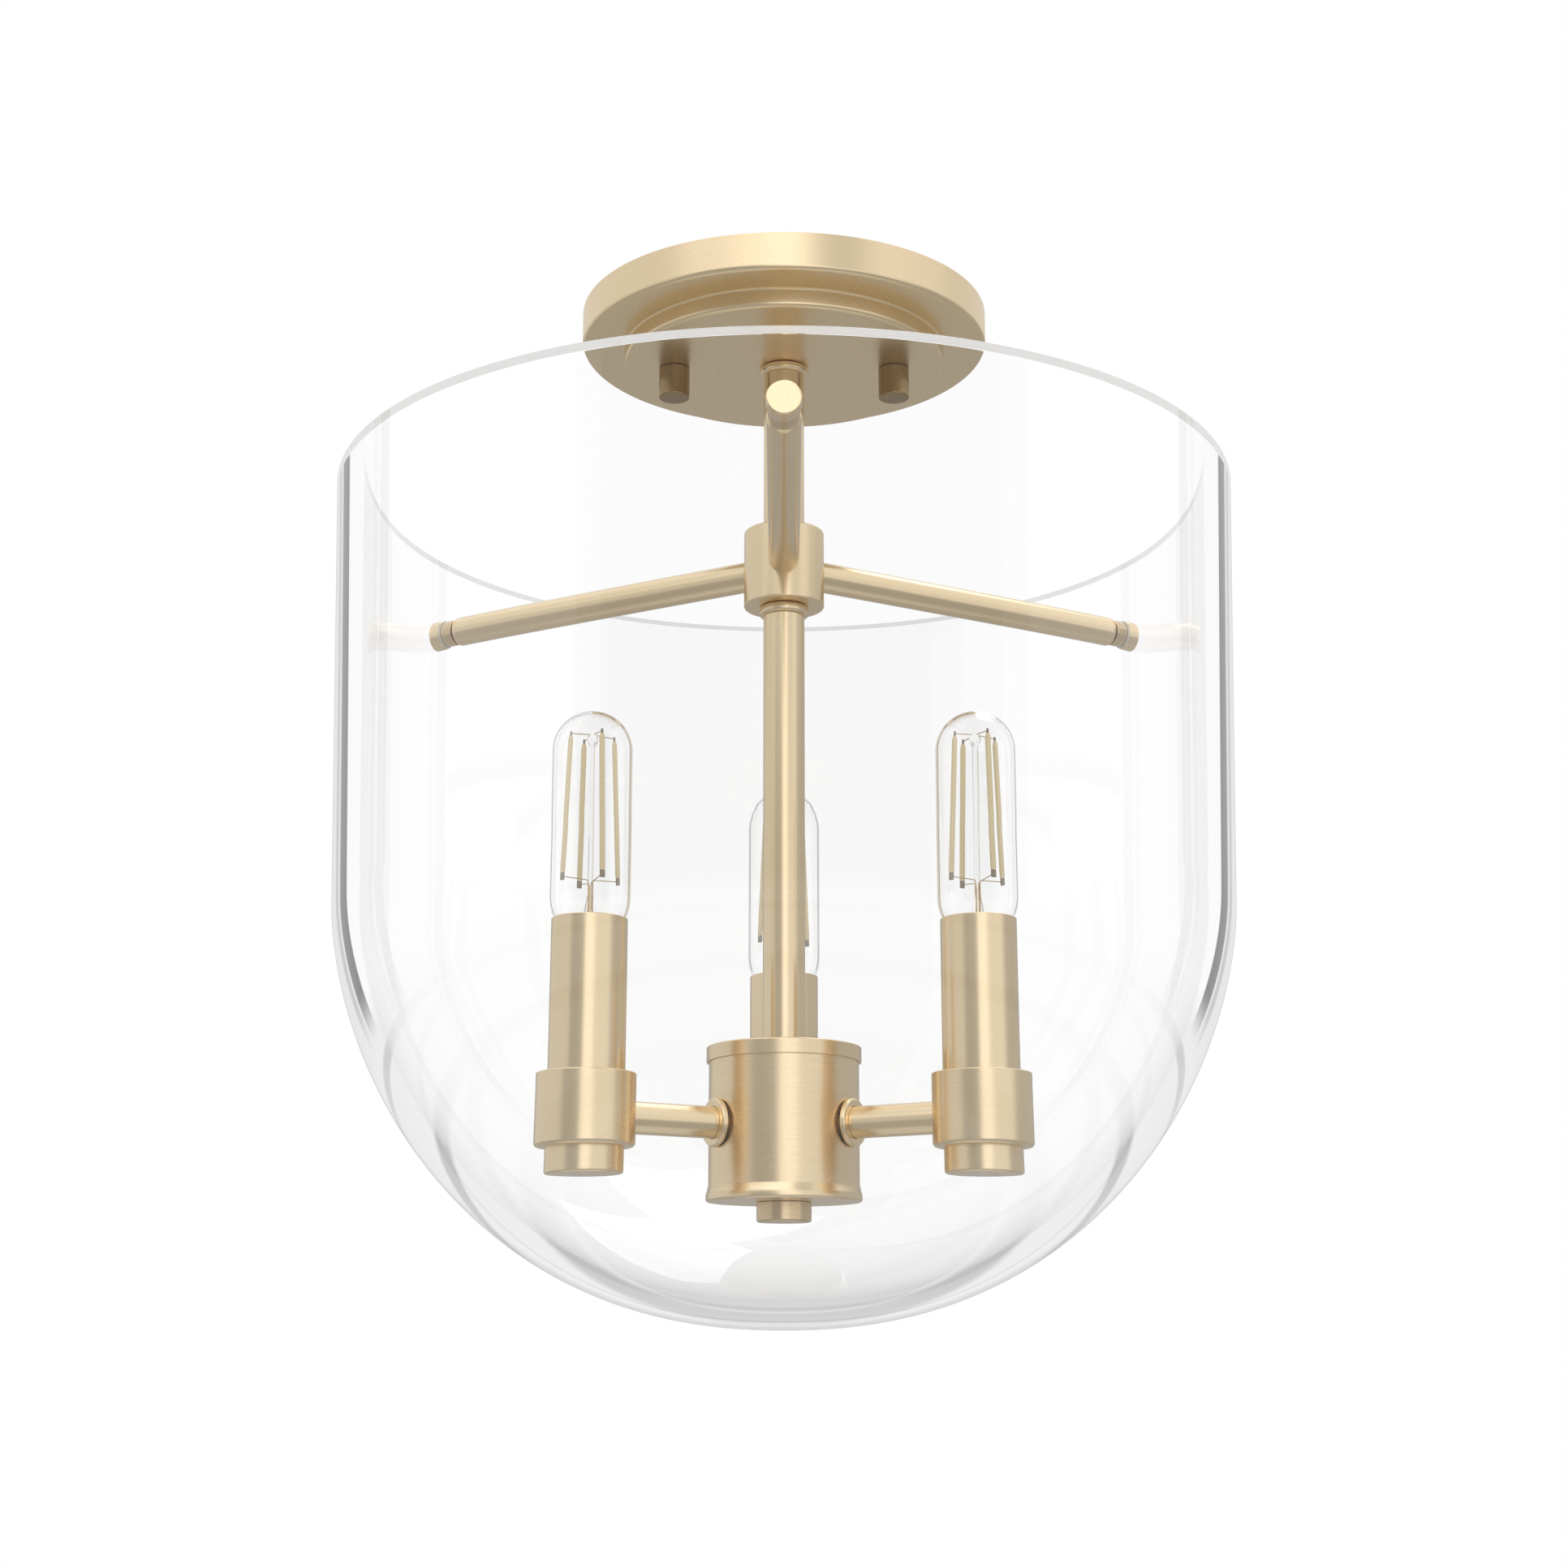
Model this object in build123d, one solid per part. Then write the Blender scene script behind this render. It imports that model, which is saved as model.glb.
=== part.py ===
from build123d import *
import math
import os

# Semi flush ceiling light: a thick clear glass bowl, open at the top, hangs on three rods
# around a brass column, and three tubular filament lamps stand inside it.
# Millimetres, +Z up. The origin is the centre of the face that meets the ceiling, so the
# light hangs down towards -Z. The front is -Y. "Drop" is a distance below the ceiling.

# ---------------------------------------------------------------- driving sizes
# glass bowl
SHADE_D = 330.0          # outer diameter at the rim
SHADE_WALL = 9.5         # thickness of the glass
SHADE_H = 303.0          # rim to the lowest point of the glass
SHADE_RIM_DROP = 74.3    # ceiling to the rim of the glass
SHADE_TAPER = 0.0258     # how much the radius shrinks per mm of the straight wall
DOME_H = 148.3           # height of the rounded bottom
DOME_SIDE_POWER = 1.80   # the dome is a superellipse: fullness towards the wall
DOME_FLOOR_POWER = 2.25  # and towards the lowest point
RIM_EDGE = 1.1           # eased edges of the rim
GLASS_HOLE_D = 10.0      # the three holes in the glass
GLASS_HOLE_DROP = 26.9   # rim of the glass to the centre of the holes

# canopy
CANOPY_D = 152.4
CANOPY_RIM_H = 14.0      # height of the outer wall
CANOPY_LEDGE = 15.9      # width of the ring around the boss
BOSS_H = 7.2             # how far the boss stands down from the ring
SHEET = 1.2              # pressed sheet
PRESS_EDGE = 1.0         # eased edges of the pressed corners
CANOPY_NUT_D = 11.5
CANOPY_NUT_H = 11.8
CANOPY_STUD_D = 4.2
CANOPY_STUD_SPREAD = 83.0   # distance between the two studs
STUD_NUT_AF = 8.7        # across the flats
STUD_NUT_H = 3.2

# crossbar
BRACKET_SHEET = 1.6
BRACKET_W = 20.0
BRACKET_L = 104.0
BRACKET_CORNER = 5.0
BRACKET_EYE_D = 13.0     # the hole that the supply wires come through
BOX_SCREW_NEAR = 69.85   # outlet box screws: smaller standard spacing
BOX_SCREW_FAR = 88.9     # and the larger one
BOX_SLOT_W = 4.8
GROUND_SCREW_D = 3.5
GROUND_HEAD_D = 7.0
GROUND_HEAD_H = 2.2
GROUND_SCREW_OUT = 24.0  # distance from the centre

# column
STEM_D = 15.2
PIPE_D = 10.0            # threaded pipe that runs down the whole column
PIPE_BORE = 6.5
PIPE_ABOVE_NUT = 1.5
PIPE_IN_FINIAL = 4.6
LOCKNUT_AF = 14.0
LOCKNUT_H = 3.6
STEM_COLLAR_D = 18.5
STEM_COLLAR_H = 3.2
COLLAR_EDGE = 0.8
HUB_D = 29.6
HUB_H = 28.9
HUB_EDGE = 0.6
HUB_SEAT_DEPTH = 6.5     # how far a rod sits in the hub
HUB_COLLAR_D = 18.3
HUB_COLLAR_H = 3.6

# rods that carry the glass
ARM_D = 11.2
ARM_END_EDGE = 1.8
CAP_D = 11.5
CAP_H = 6.2
CAP_EDGE = 0.5
CAP_STUD_D = 5.0
CAP_GRIP = 8.0           # thread of the end cap that is in the rod
PAD_T = 0.9              # bushing that stands out inside the glass, washer outside it
BUSHING_WALL = 2.0

# cluster
CLUSTER_D = 53.9
CLUSTER_WALL = 1.5
CLUSTER_H = 54.6         # over both caps
CLUSTER_LIP = 0.55       # how far the caps stand out
CLUSTER_LIP_H = 5.3
CLUSTER_CAP_T = 1.6
FINIAL_D = 19.3
FINIAL_H = 7.1
FINIAL_EDGE = 0.8
FINIAL_TO_GLASS = 27.1   # finial down to the inside of the glass
LAMP_ARM_RISE = 26.6     # bottom of the cluster up to the lamp tubes
LAMP_ARM_D = 11.2
LAMP_ARM_BORE = 7.6
LAMP_ARM_INSIDE = 3.0    # how far a lamp tube reaches into the cluster
ROSETTE_D = 17.0
ROSETTE_T = 1.9
ROSETTE_EDGE = 0.8

# lamp holders
LAMP_TO_GLASS = 61.5     # side of a cup to the glass at the rim
SLEEVE_D = 26.2
SLEEVE_WALL = 0.75
SLEEVE_SHOWN = 53.1      # sleeve above the cup
CUP_STEP = 3.8           # how far a cup stands out from the sleeve
CUP_H = 24.7
CUP_ARM_DROP = 14.0      # top of a cup down to the lamp tube
CUP_SLEEVE_SEAT = 6.0    # depth of the sleeve in the cup
CUP_WELL_STEP = 1.6      # ledge that the sleeve stands on
CUP_FLOOR = 4.0
CUP_EDGE = 1.3
BASE_D = 26.3            # knob under a cup
BASE_H = 8.7
BASE_EDGE = 0.8
BASE_STUD_D = 8.0
BASE_STUD_GRIP = 9.0
SOCKET_D = 18.0
SOCKET_BELOW_RIM = 12.7  # top of the sleeve to the top of the socket

# lamps
BULB_D = 27.8
BULB_SHOWN = 73.3        # bulb above the sleeve
BULB_WALL = 0.8
BULB_STRAIGHT_END = 6.3  # where the glass starts to narrow, above the sleeve
BULB_THROAT_D = 10.0
BULB_THROAT_DROP = 14.2  # sleeve rim down to the throat
BULB_THROAT_L = 4.4
BULB_BASE_D = 11.9
BULB_BASE_H = 16.5
BULB_BASE_CUP = 4.2      # depth of the cup that holds the throat
CONTACT_D = 8.6
CONTACT_TIP_D = 4.5
CONTACT_H = 3.2
FILAMENT_L = 49.0
FILAMENT_W = 1.8
FILAMENT_T = 1.0
FILAMENT_TOP_TO_BULB = 5.7   # middle of a strip to the outside of the bulb: the strips
FILAMENT_FOOT_TO_BULB = 3.6  # lean outwards towards the bottom
FILAMENT_TURN = 27.0     # degrees from the line to the middle of the light
FILAMENT_TOP_DROP = 9.6  # top of the bulb to the tops of the strips
MOUNT_ROD_D = 2.2
MOUNT_FLARE_D = 7.0
WIRE = 0.5

# clearances
THREAD_GAP = 0.08        # radial, screw in its hole, thread drawn plain
SLIP_GAP = 0.1           # radial, a piece pushed through or into another
SEAT_GAP = 0.1           # under a nut or cap that turns
GLASS_GAP = 0.15         # between the glass and what touches it
BULB_GAP = 0.25          # radial, screw base in the socket
CONTACT_GAP = 0.3

ARM_ANGLES = {"front": -90, "right": 30, "left": 150}
LAMP_ANGLES = {"right": -30, "left": -150, "back": 90}
DOME_STEPS = 9
CROWN_STEPS = 3

# ---------------------------------------------------------------- derived sizes
ARM_DROP = SHADE_RIM_DROP + GLASS_HOLE_DROP
RIM_Z = -SHADE_RIM_DROP
ARM_Z = -ARM_DROP
SHADE_BOTTOM_Z = RIM_Z - SHADE_H
DOME_TOP_Z = SHADE_BOTTOM_Z + DOME_H
GLASS_OUT_R = SHADE_D / 2 - SHADE_TAPER * GLASS_HOLE_DROP
GLASS_IN_R = GLASS_OUT_R - SHADE_WALL
BUSHING_IN_R = GLASS_IN_R - PAD_T
WASHER_IN_R = GLASS_OUT_R + GLASS_GAP * 1.5
CAP_IN_R = WASHER_IN_R + PAD_T + SEAT_GAP / 2
CAP_STUD_R = CAP_STUD_D / 2

CANOPY_R = CANOPY_D / 2
BOSS_R = CANOPY_R - CANOPY_LEDGE
CANOPY_FACE_Z = -(CANOPY_RIM_H + BOSS_H)
CANOPY_FLOOR_Z = CANOPY_FACE_Z + SHEET
STUD_X = CANOPY_STUD_SPREAD / 2
NUT_TOP_Z = CANOPY_FACE_Z - SEAT_GAP
NUT_BOTTOM_Z = CANOPY_FACE_Z - CANOPY_NUT_H

PIPE_HOLE_R = PIPE_D / 2 + THREAD_GAP
UPPER_STEM_TOP_Z = CANOPY_FACE_Z - STEM_COLLAR_H
HUB_TOP_Z = ARM_Z + HUB_H / 2
HUB_BOTTOM_Z = ARM_Z - HUB_H / 2
LOWER_STEM_TOP_Z = HUB_BOTTOM_Z - HUB_COLLAR_H

FINIAL_BOTTOM_Z = SHADE_BOTTOM_Z + SHADE_WALL + FINIAL_TO_GLASS
CLUSTER_BOTTOM_Z = FINIAL_BOTTOM_Z + FINIAL_H
CLUSTER_TOP_Z = CLUSTER_BOTTOM_Z + CLUSTER_H
LAMP_ARM_Z = CLUSTER_BOTTOM_Z + LAMP_ARM_RISE
CLUSTER_R = CLUSTER_D / 2
CLUSTER_LIP_R = CLUSTER_R + CLUSTER_LIP

CUP_R = SLEEVE_D / 2 + CUP_STEP
LAMP_CIRCLE_R = SHADE_D / 2 - SHADE_WALL - LAMP_TO_GLASS - CUP_R
CUP_TOP_Z = LAMP_ARM_Z + CUP_ARM_DROP
CUP_BOTTOM_Z = CUP_TOP_Z - CUP_H
CUP_LEDGE_Z = CUP_TOP_Z - CUP_SLEEVE_SEAT
CUP_FLOOR_Z = CUP_BOTTOM_Z + CUP_FLOOR
SLEEVE_R = SLEEVE_D / 2
SLEEVE_BORE_R = SLEEVE_R - SLEEVE_WALL
SLEEVE_TOP_Z = CUP_TOP_Z + SLEEVE_SHOWN
CUP_WELL_R = SLEEVE_R - CUP_WELL_STEP
CUP_ARM_SEAT = (CUP_R + CUP_WELL_R) / 2
BASE_STUD_R = BASE_STUD_D / 2

SOCKET_TOP_Z = SLEEVE_TOP_Z - SOCKET_BELOW_RIM
BULB_TOP_Z = SLEEVE_TOP_Z + BULB_SHOWN
THROAT_TOP_Z = SLEEVE_TOP_Z - BULB_THROAT_DROP
THROAT_END_Z = THROAT_TOP_Z - BULB_THROAT_L
BULB_BASE_TOP_Z = THROAT_END_Z - SLIP_GAP + BULB_BASE_CUP
BULB_BASE_END_Z = BULB_BASE_TOP_Z - BULB_BASE_H
CONTACT_END_Z = BULB_BASE_END_Z - CONTACT_H
FILAMENT_TOP_R = BULB_D / 2 - FILAMENT_TOP_TO_BULB
FILAMENT_FOOT_R = BULB_D / 2 - FILAMENT_FOOT_TO_BULB
FILAMENT_TOP_Z = BULB_TOP_Z - FILAMENT_TOP_DROP
FILAMENT_FOOT_Z = FILAMENT_TOP_Z - FILAMENT_L


# ---------------------------------------------------------------- ways of making a piece
def turned(outline, edges=()):
    """Lathe work: an outline of (radius, height) points, with some corners eased."""
    face = make_face(Polyline(*outline, close=True))
    for corner, size in edges:
        nearest = face.vertices().sort_by_distance((corner[0], corner[1], 0))[0]
        face = chamfer(nearest, size)
    return revolve(Plane.XZ * face, Axis.Z)


def rod(radius, low, high, bore_radius=0.0):
    """An upright round bar from one height to another, or a tube if it has a bore."""
    seat = (Align.CENTER, Align.CENTER, Align.MIN)
    bar = Cylinder(radius, high - low, align=seat)
    if bore_radius > 0:
        bar -= Cylinder(bore_radius, high - low, align=seat)
    return Pos(0, 0, low) * bar


def hex_nut(across_flats, bore_radius, low, high):
    """A six-sided nut on the vertical axis."""
    section = RegularPolygon(across_flats / 2, 6, major_radius=False)
    nut = Pos(0, 0, low) * extrude(section, high - low)
    return nut - rod(bore_radius, low, high)


def outward(piece, height):
    """Lay a piece that was made upright along +X, with its own zero on the column."""
    return Pos(0, 0, height) * Rot(0, 90, 0) * piece


def turn_to(piece, angle):
    """Swing a piece that lies along +X round the column."""
    return Rot(0, 0, angle) * piece


def at_lamp(piece, angle):
    """Move a piece from the column to the place of one lamp."""
    return turn_to(Pos(LAMP_CIRCLE_R, 0, 0) * piece, angle)


# ---------------------------------------------------------------- glass bowl
def bowl_line(inset):
    """One face of the bowl, from the rim to the axis, moved in from the outside."""
    rim_radius = SHADE_D / 2 - inset
    depth = DOME_H - inset
    start_radius = rim_radius - SHADE_TAPER * (RIM_Z - DOME_TOP_Z)
    points = []
    for step in range(DOME_STEPS + 1):
        angle = math.radians(90 * step / DOME_STEPS)
        radius = start_radius * math.cos(angle) ** (2 / DOME_FLOOR_POWER)
        fall = depth * math.sin(angle) ** (2 / DOME_SIDE_POWER)
        points.append((radius, DOME_TOP_Z - fall))
    points[-1] = (0, DOME_TOP_Z - depth)
    wall = Line((rim_radius, RIM_Z), points[0])
    dome = Spline(*points, tangents=[(-SHADE_TAPER, -1), (-1, 0)])
    return wall, dome


def glass_shade():
    outer_wall, outer_dome = bowl_line(0)
    inner_wall, inner_dome = bowl_line(SHADE_WALL)
    rim = Line((SHADE_D / 2, RIM_Z), (SHADE_D / 2 - SHADE_WALL, RIM_Z))
    floor = Line((0, SHADE_BOTTOM_Z), (0, SHADE_BOTTOM_Z + SHADE_WALL))
    face = make_face([outer_wall, outer_dome, floor, inner_dome, inner_wall, rim])
    face = chamfer(face.vertices().sort_by(Axis.Y)[-2:], RIM_EDGE)
    bowl = revolve(Plane.XZ * face, Axis.Z)
    for angle in ARM_ANGLES.values():
        hole = outward(rod(GLASS_HOLE_D / 2, GLASS_IN_R - SHADE_WALL, SHADE_D / 2 + SHADE_WALL), ARM_Z)
        bowl -= turn_to(hole, angle)
    return bowl


# ---------------------------------------------------------------- ceiling side
def canopy():
    inner_r = CANOPY_R - SHEET
    boss_inner_r = BOSS_R - SHEET
    ring_z = -CANOPY_RIM_H
    outline = [
        (CANOPY_R, 0), (CANOPY_R, ring_z), (BOSS_R, ring_z), (BOSS_R, CANOPY_FACE_Z),
        (PIPE_HOLE_R, CANOPY_FACE_Z), (PIPE_HOLE_R, CANOPY_FLOOR_Z),
        (boss_inner_r, CANOPY_FLOOR_Z), (boss_inner_r, ring_z + SHEET),
        (inner_r, ring_z + SHEET), (inner_r, 0),
    ]
    pan = turned(outline, [(outline[1], PRESS_EDGE), (outline[3], PRESS_EDGE)])
    for side in (-1, 1):
        hole = rod(CANOPY_STUD_D / 2 + SLIP_GAP, CANOPY_FACE_Z, CANOPY_FLOOR_Z)
        pan -= Pos(side * STUD_X, 0, 0) * hole
    return pan


def mounting_bracket():
    """Crossbar: one arm carries the studs, the other has slots for the box screws."""
    bar = Rectangle(BRACKET_L, BRACKET_W)
    bar = chamfer(bar.vertices(), BRACKET_CORNER)
    plate = Pos(0, 0, -BRACKET_SHEET) * extrude(bar + Rot(0, 0, 90) * bar, BRACKET_SHEET)
    plate -= rod(BRACKET_EYE_D / 2, -BRACKET_SHEET, 0)
    slot_length = (BOX_SCREW_FAR - BOX_SCREW_NEAR) / 2 + BOX_SLOT_W
    slot = Rot(0, 0, 90) * SlotOverall(slot_length, BOX_SLOT_W)
    for side in (-1, 1):
        slot_y = side * (BOX_SCREW_NEAR + BOX_SCREW_FAR) / 4
        plate -= Pos(0, slot_y, -BRACKET_SHEET) * extrude(slot, BRACKET_SHEET)
        stud_hole = rod(CANOPY_STUD_D / 2 + THREAD_GAP, -BRACKET_SHEET, 0)
        plate -= Pos(side * STUD_X, 0, 0) * stud_hole
    ground_hole = rod(GROUND_SCREW_D / 2 + THREAD_GAP, -BRACKET_SHEET, 0)
    return plate - Pos(0, GROUND_SCREW_OUT, 0) * ground_hole


def canopy_studs():
    end_z = NUT_BOTTOM_Z + CANOPY_NUT_H / 3
    stud = rod(CANOPY_STUD_D / 2, end_z, 0)
    return [Pos(side * STUD_X, 0, 0) * stud for side in (-1, 1)]


def stud_locknuts():
    top = -BRACKET_SHEET
    nut = hex_nut(STUD_NUT_AF, CANOPY_STUD_D / 2 + THREAD_GAP, top - STUD_NUT_H, top)
    return [Pos(side * STUD_X, 0, 0) * nut for side in (-1, 1)]


def ground_screw():
    head_top = -BRACKET_SHEET
    head = rod(GROUND_HEAD_D / 2, head_top - GROUND_HEAD_H, head_top)
    shank = rod(GROUND_SCREW_D / 2, head_top, 0)
    return Pos(0, GROUND_SCREW_OUT, 0) * (head + shank)


def canopy_nut(side):
    """Cap nut with a blind thread, turned on the end of a canopy stud."""
    nut_r = CANOPY_NUT_D / 2
    nut = turned(
        [(0, NUT_TOP_Z), (nut_r, NUT_TOP_Z), (nut_r, NUT_BOTTOM_Z), (0, NUT_BOTTOM_Z)],
        [((nut_r, NUT_BOTTOM_Z), CAP_EDGE)],
    )
    bore_end = NUT_BOTTOM_Z + CANOPY_NUT_H / 5
    nut -= rod(CANOPY_STUD_D / 2 + THREAD_GAP, bore_end, NUT_TOP_Z)
    return Pos(side * STUD_X, 0, 0) * nut


# ---------------------------------------------------------------- column
def threaded_pipe():
    """Carries the wires and pulls canopy, stems, hub and cluster together."""
    high = CANOPY_FLOOR_Z + LOCKNUT_H + PIPE_ABOVE_NUT
    return rod(PIPE_D / 2, CLUSTER_BOTTOM_Z - PIPE_IN_FINIAL, high, PIPE_BORE / 2)


def pipe_locknut():
    return hex_nut(LOCKNUT_AF, PIPE_HOLE_R, CANOPY_FLOOR_Z, CANOPY_FLOOR_Z + LOCKNUT_H)


def collar(diameter, low, high):
    """Thin ring with both outer edges eased, on the pipe."""
    radius = diameter / 2
    outline = [(PIPE_HOLE_R, low), (radius, low), (radius, high), (PIPE_HOLE_R, high)]
    return turned(outline, [(outline[1], COLLAR_EDGE), (outline[2], COLLAR_EDGE)])


def stem(low, high):
    return rod(STEM_D / 2, low, high, PIPE_HOLE_R)


def hub():
    radius = HUB_D / 2
    block = rod(radius, HUB_BOTTOM_Z, HUB_TOP_Z)
    block = chamfer(block.edges().filter_by(GeomType.CIRCLE), HUB_EDGE)
    block -= rod(PIPE_HOLE_R, HUB_BOTTOM_Z, HUB_TOP_Z)
    seat = rod(ARM_D / 2 + SLIP_GAP, radius - HUB_SEAT_DEPTH, radius + HUB_SEAT_DEPTH)
    for angle in ARM_ANGLES.values():
        block -= turn_to(outward(seat, ARM_Z), angle)
    return block


# ---------------------------------------------------------------- rods that carry the glass
def shade_arm(angle):
    """Rod that sits in the hub, with a threaded bore in its outer end."""
    radius = ARM_D / 2
    start = HUB_D / 2 - HUB_SEAT_DEPTH
    outline = [
        (0, start), (radius, start), (radius, BUSHING_IN_R - SLIP_GAP), (0, BUSHING_IN_R - SLIP_GAP),
    ]
    bar = turned(outline, [(outline[2], ARM_END_EDGE)])
    bar -= rod(CAP_STUD_R + THREAD_GAP, BUSHING_IN_R - CAP_GRIP * 1.5, BUSHING_IN_R)
    return turn_to(outward(bar, ARM_Z), angle)


def shade_bushings():
    """Sleeves that keep the screws and the rods off the glass."""
    sleeve_r = GLASS_HOLE_D / 2 - GLASS_GAP
    tube = rod(sleeve_r, BUSHING_IN_R, GLASS_OUT_R, sleeve_r - BUSHING_WALL)
    return [turn_to(outward(tube, ARM_Z), angle) for angle in ARM_ANGLES.values()]


def shade_washer(angle):
    bore_r = CAP_STUD_R + SLIP_GAP
    washer = rod(ARM_D / 2, WASHER_IN_R, WASHER_IN_R + PAD_T, bore_r)
    return turn_to(outward(washer, ARM_Z), angle)


def shade_cap(angle):
    """End cap outside the glass, one piece with the screw that goes into its rod."""
    radius = CAP_D / 2
    end = CAP_IN_R + CAP_H
    outline = [
        (0, BUSHING_IN_R - CAP_GRIP), (CAP_STUD_R, BUSHING_IN_R - CAP_GRIP), (CAP_STUD_R, CAP_IN_R),
        (radius, CAP_IN_R), (radius, end), (0, end),
    ]
    cap = turned(outline, [(outline[4], CAP_EDGE)])
    return turn_to(outward(cap, ARM_Z), angle)


# ---------------------------------------------------------------- cluster
def cluster_top_cap():
    skirt_r = CLUSTER_R + SLIP_GAP
    plate_z = CLUSTER_TOP_Z - CLUSTER_CAP_T
    skirt_z = CLUSTER_TOP_Z - CLUSTER_LIP_H
    outline = [
        (PIPE_HOLE_R, CLUSTER_TOP_Z), (CLUSTER_LIP_R, CLUSTER_TOP_Z), (CLUSTER_LIP_R, skirt_z),
        (skirt_r, skirt_z), (skirt_r, plate_z), (PIPE_HOLE_R, plate_z),
    ]
    return turned(outline, [(outline[1], CLUSTER_LIP)])


def cluster_bottom_cap():
    skirt_r = CLUSTER_R + SLIP_GAP
    plate_z = CLUSTER_BOTTOM_Z + CLUSTER_CAP_T
    skirt_z = CLUSTER_BOTTOM_Z + CLUSTER_LIP_H
    outline = [
        (PIPE_HOLE_R, CLUSTER_BOTTOM_Z), (CLUSTER_LIP_R, CLUSTER_BOTTOM_Z), (CLUSTER_LIP_R, skirt_z),
        (skirt_r, skirt_z), (skirt_r, plate_z), (PIPE_HOLE_R, plate_z),
    ]
    return turned(outline, [(outline[1], CLUSTER_LIP)])


def cluster_body():
    low = CLUSTER_BOTTOM_Z + CLUSTER_CAP_T
    high = CLUSTER_TOP_Z - CLUSTER_CAP_T
    can = rod(CLUSTER_R, low, high, CLUSTER_R - CLUSTER_WALL)
    hole = outward(rod(LAMP_ARM_D / 2 + SLIP_GAP, CLUSTER_R / 2, CLUSTER_R * 2), LAMP_ARM_Z)
    for angle in LAMP_ANGLES.values():
        can -= turn_to(hole, angle)
    return can


def cluster_finial():
    """Cap nut on the end of the pipe."""
    radius = FINIAL_D / 2
    top = CLUSTER_BOTTOM_Z - SEAT_GAP
    outline = [(0, top), (radius, top), (radius, FINIAL_BOTTOM_Z), (0, FINIAL_BOTTOM_Z)]
    knob = turned(outline, [(outline[2], FINIAL_EDGE)])
    return knob - rod(PIPE_HOLE_R, CLUSTER_BOTTOM_Z - PIPE_IN_FINIAL - SLIP_GAP, top)


def lamp_arm(angle):
    start = CLUSTER_R - CLUSTER_WALL - LAMP_ARM_INSIDE
    end = LAMP_CIRCLE_R - CUP_ARM_SEAT
    tube = rod(LAMP_ARM_D / 2, start, end, LAMP_ARM_BORE / 2)
    return turn_to(outward(tube, LAMP_ARM_Z), angle)


def arm_rosettes():
    bore_r = LAMP_ARM_D / 2 + SLIP_GAP
    radius = ROSETTE_D / 2
    back = CLUSTER_R + SLIP_GAP
    outline = [(bore_r, back), (radius, back), (radius, back + ROSETTE_T), (bore_r, back + ROSETTE_T)]
    ring = outward(turned(outline, [(outline[2], ROSETTE_EDGE)]), LAMP_ARM_Z)
    return [turn_to(ring, angle) for angle in LAMP_ANGLES.values()]


# ---------------------------------------------------------------- lamp holders
def socket_cup(angle):
    """Turned cup: a seat for the sleeve, a well for the socket and a side hole for the tube."""
    seat_r = SLEEVE_R + SLIP_GAP
    hole_r = BASE_STUD_R + SLIP_GAP
    outline = [
        (CUP_R, CUP_TOP_Z), (CUP_R, CUP_BOTTOM_Z), (hole_r, CUP_BOTTOM_Z), (hole_r, CUP_FLOOR_Z),
        (CUP_WELL_R, CUP_FLOOR_Z), (CUP_WELL_R, CUP_LEDGE_Z), (seat_r, CUP_LEDGE_Z),
        (seat_r, CUP_TOP_Z),
    ]
    cup = turned(outline, [(outline[1], CUP_EDGE)])
    seat = rod(LAMP_ARM_D / 2 + SLIP_GAP, CUP_ARM_SEAT, CUP_R * 2)
    wire_hole = rod(LAMP_ARM_BORE / 2, CUP_WELL_R / 2, CUP_R)
    cup -= turn_to(outward(seat + wire_hole, LAMP_ARM_Z), 180)
    return at_lamp(cup, angle)


def cup_base(angle):
    """Knob under the cup, with the screw that holds the cup and the socket together."""
    radius = BASE_D / 2
    low = CUP_BOTTOM_Z - BASE_H
    screw_top = CUP_FLOOR_Z + BASE_STUD_GRIP
    outline = [
        (0, low), (radius, low), (radius, CUP_BOTTOM_Z), (BASE_STUD_R, CUP_BOTTOM_Z),
        (BASE_STUD_R, screw_top), (0, screw_top),
    ]
    return at_lamp(turned(outline, [(outline[1], BASE_EDGE)]), angle)


def lamp_socket(angle):
    """Candelabra socket that stands on the floor of the cup, screwed to the knob below."""
    radius = SOCKET_D / 2
    bore_r = BULB_BASE_D / 2 + BULB_GAP
    screw_r = BASE_STUD_R + THREAD_GAP
    screw_end = CUP_FLOOR_Z + BASE_STUD_GRIP + THREAD_GAP
    well_z = CONTACT_END_Z - CONTACT_GAP
    outline = [
        (bore_r, SOCKET_TOP_Z), (radius, SOCKET_TOP_Z), (radius, CUP_FLOOR_Z),
        (screw_r, CUP_FLOOR_Z), (screw_r, screw_end), (0, screw_end), (0, well_z), (bore_r, well_z),
    ]
    return at_lamp(turned(outline), angle)


def candle_sleeve(angle):
    return at_lamp(rod(SLEEVE_R, CUP_LEDGE_Z, SLEEVE_TOP_Z, SLEEVE_BORE_R), angle)


# ---------------------------------------------------------------- lamps
def bulb_line(inset):
    """Side of a bulb below its crown: straight wall, shoulder in the sleeve and throat."""
    radius = BULB_D / 2 - inset
    throat_r = BULB_THROAT_D / 2 - inset
    rim_r = min(SLEEVE_BORE_R - 2 * CONTACT_GAP, BULB_D / 2) - inset
    return [
        (radius, BULB_TOP_Z - BULB_D / 2), (radius, SLEEVE_TOP_Z + BULB_STRAIGHT_END),
        (rim_r, SLEEVE_TOP_Z), (throat_r, THROAT_TOP_Z), (throat_r, THROAT_END_Z),
        (0, THROAT_END_Z),
    ]


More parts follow.
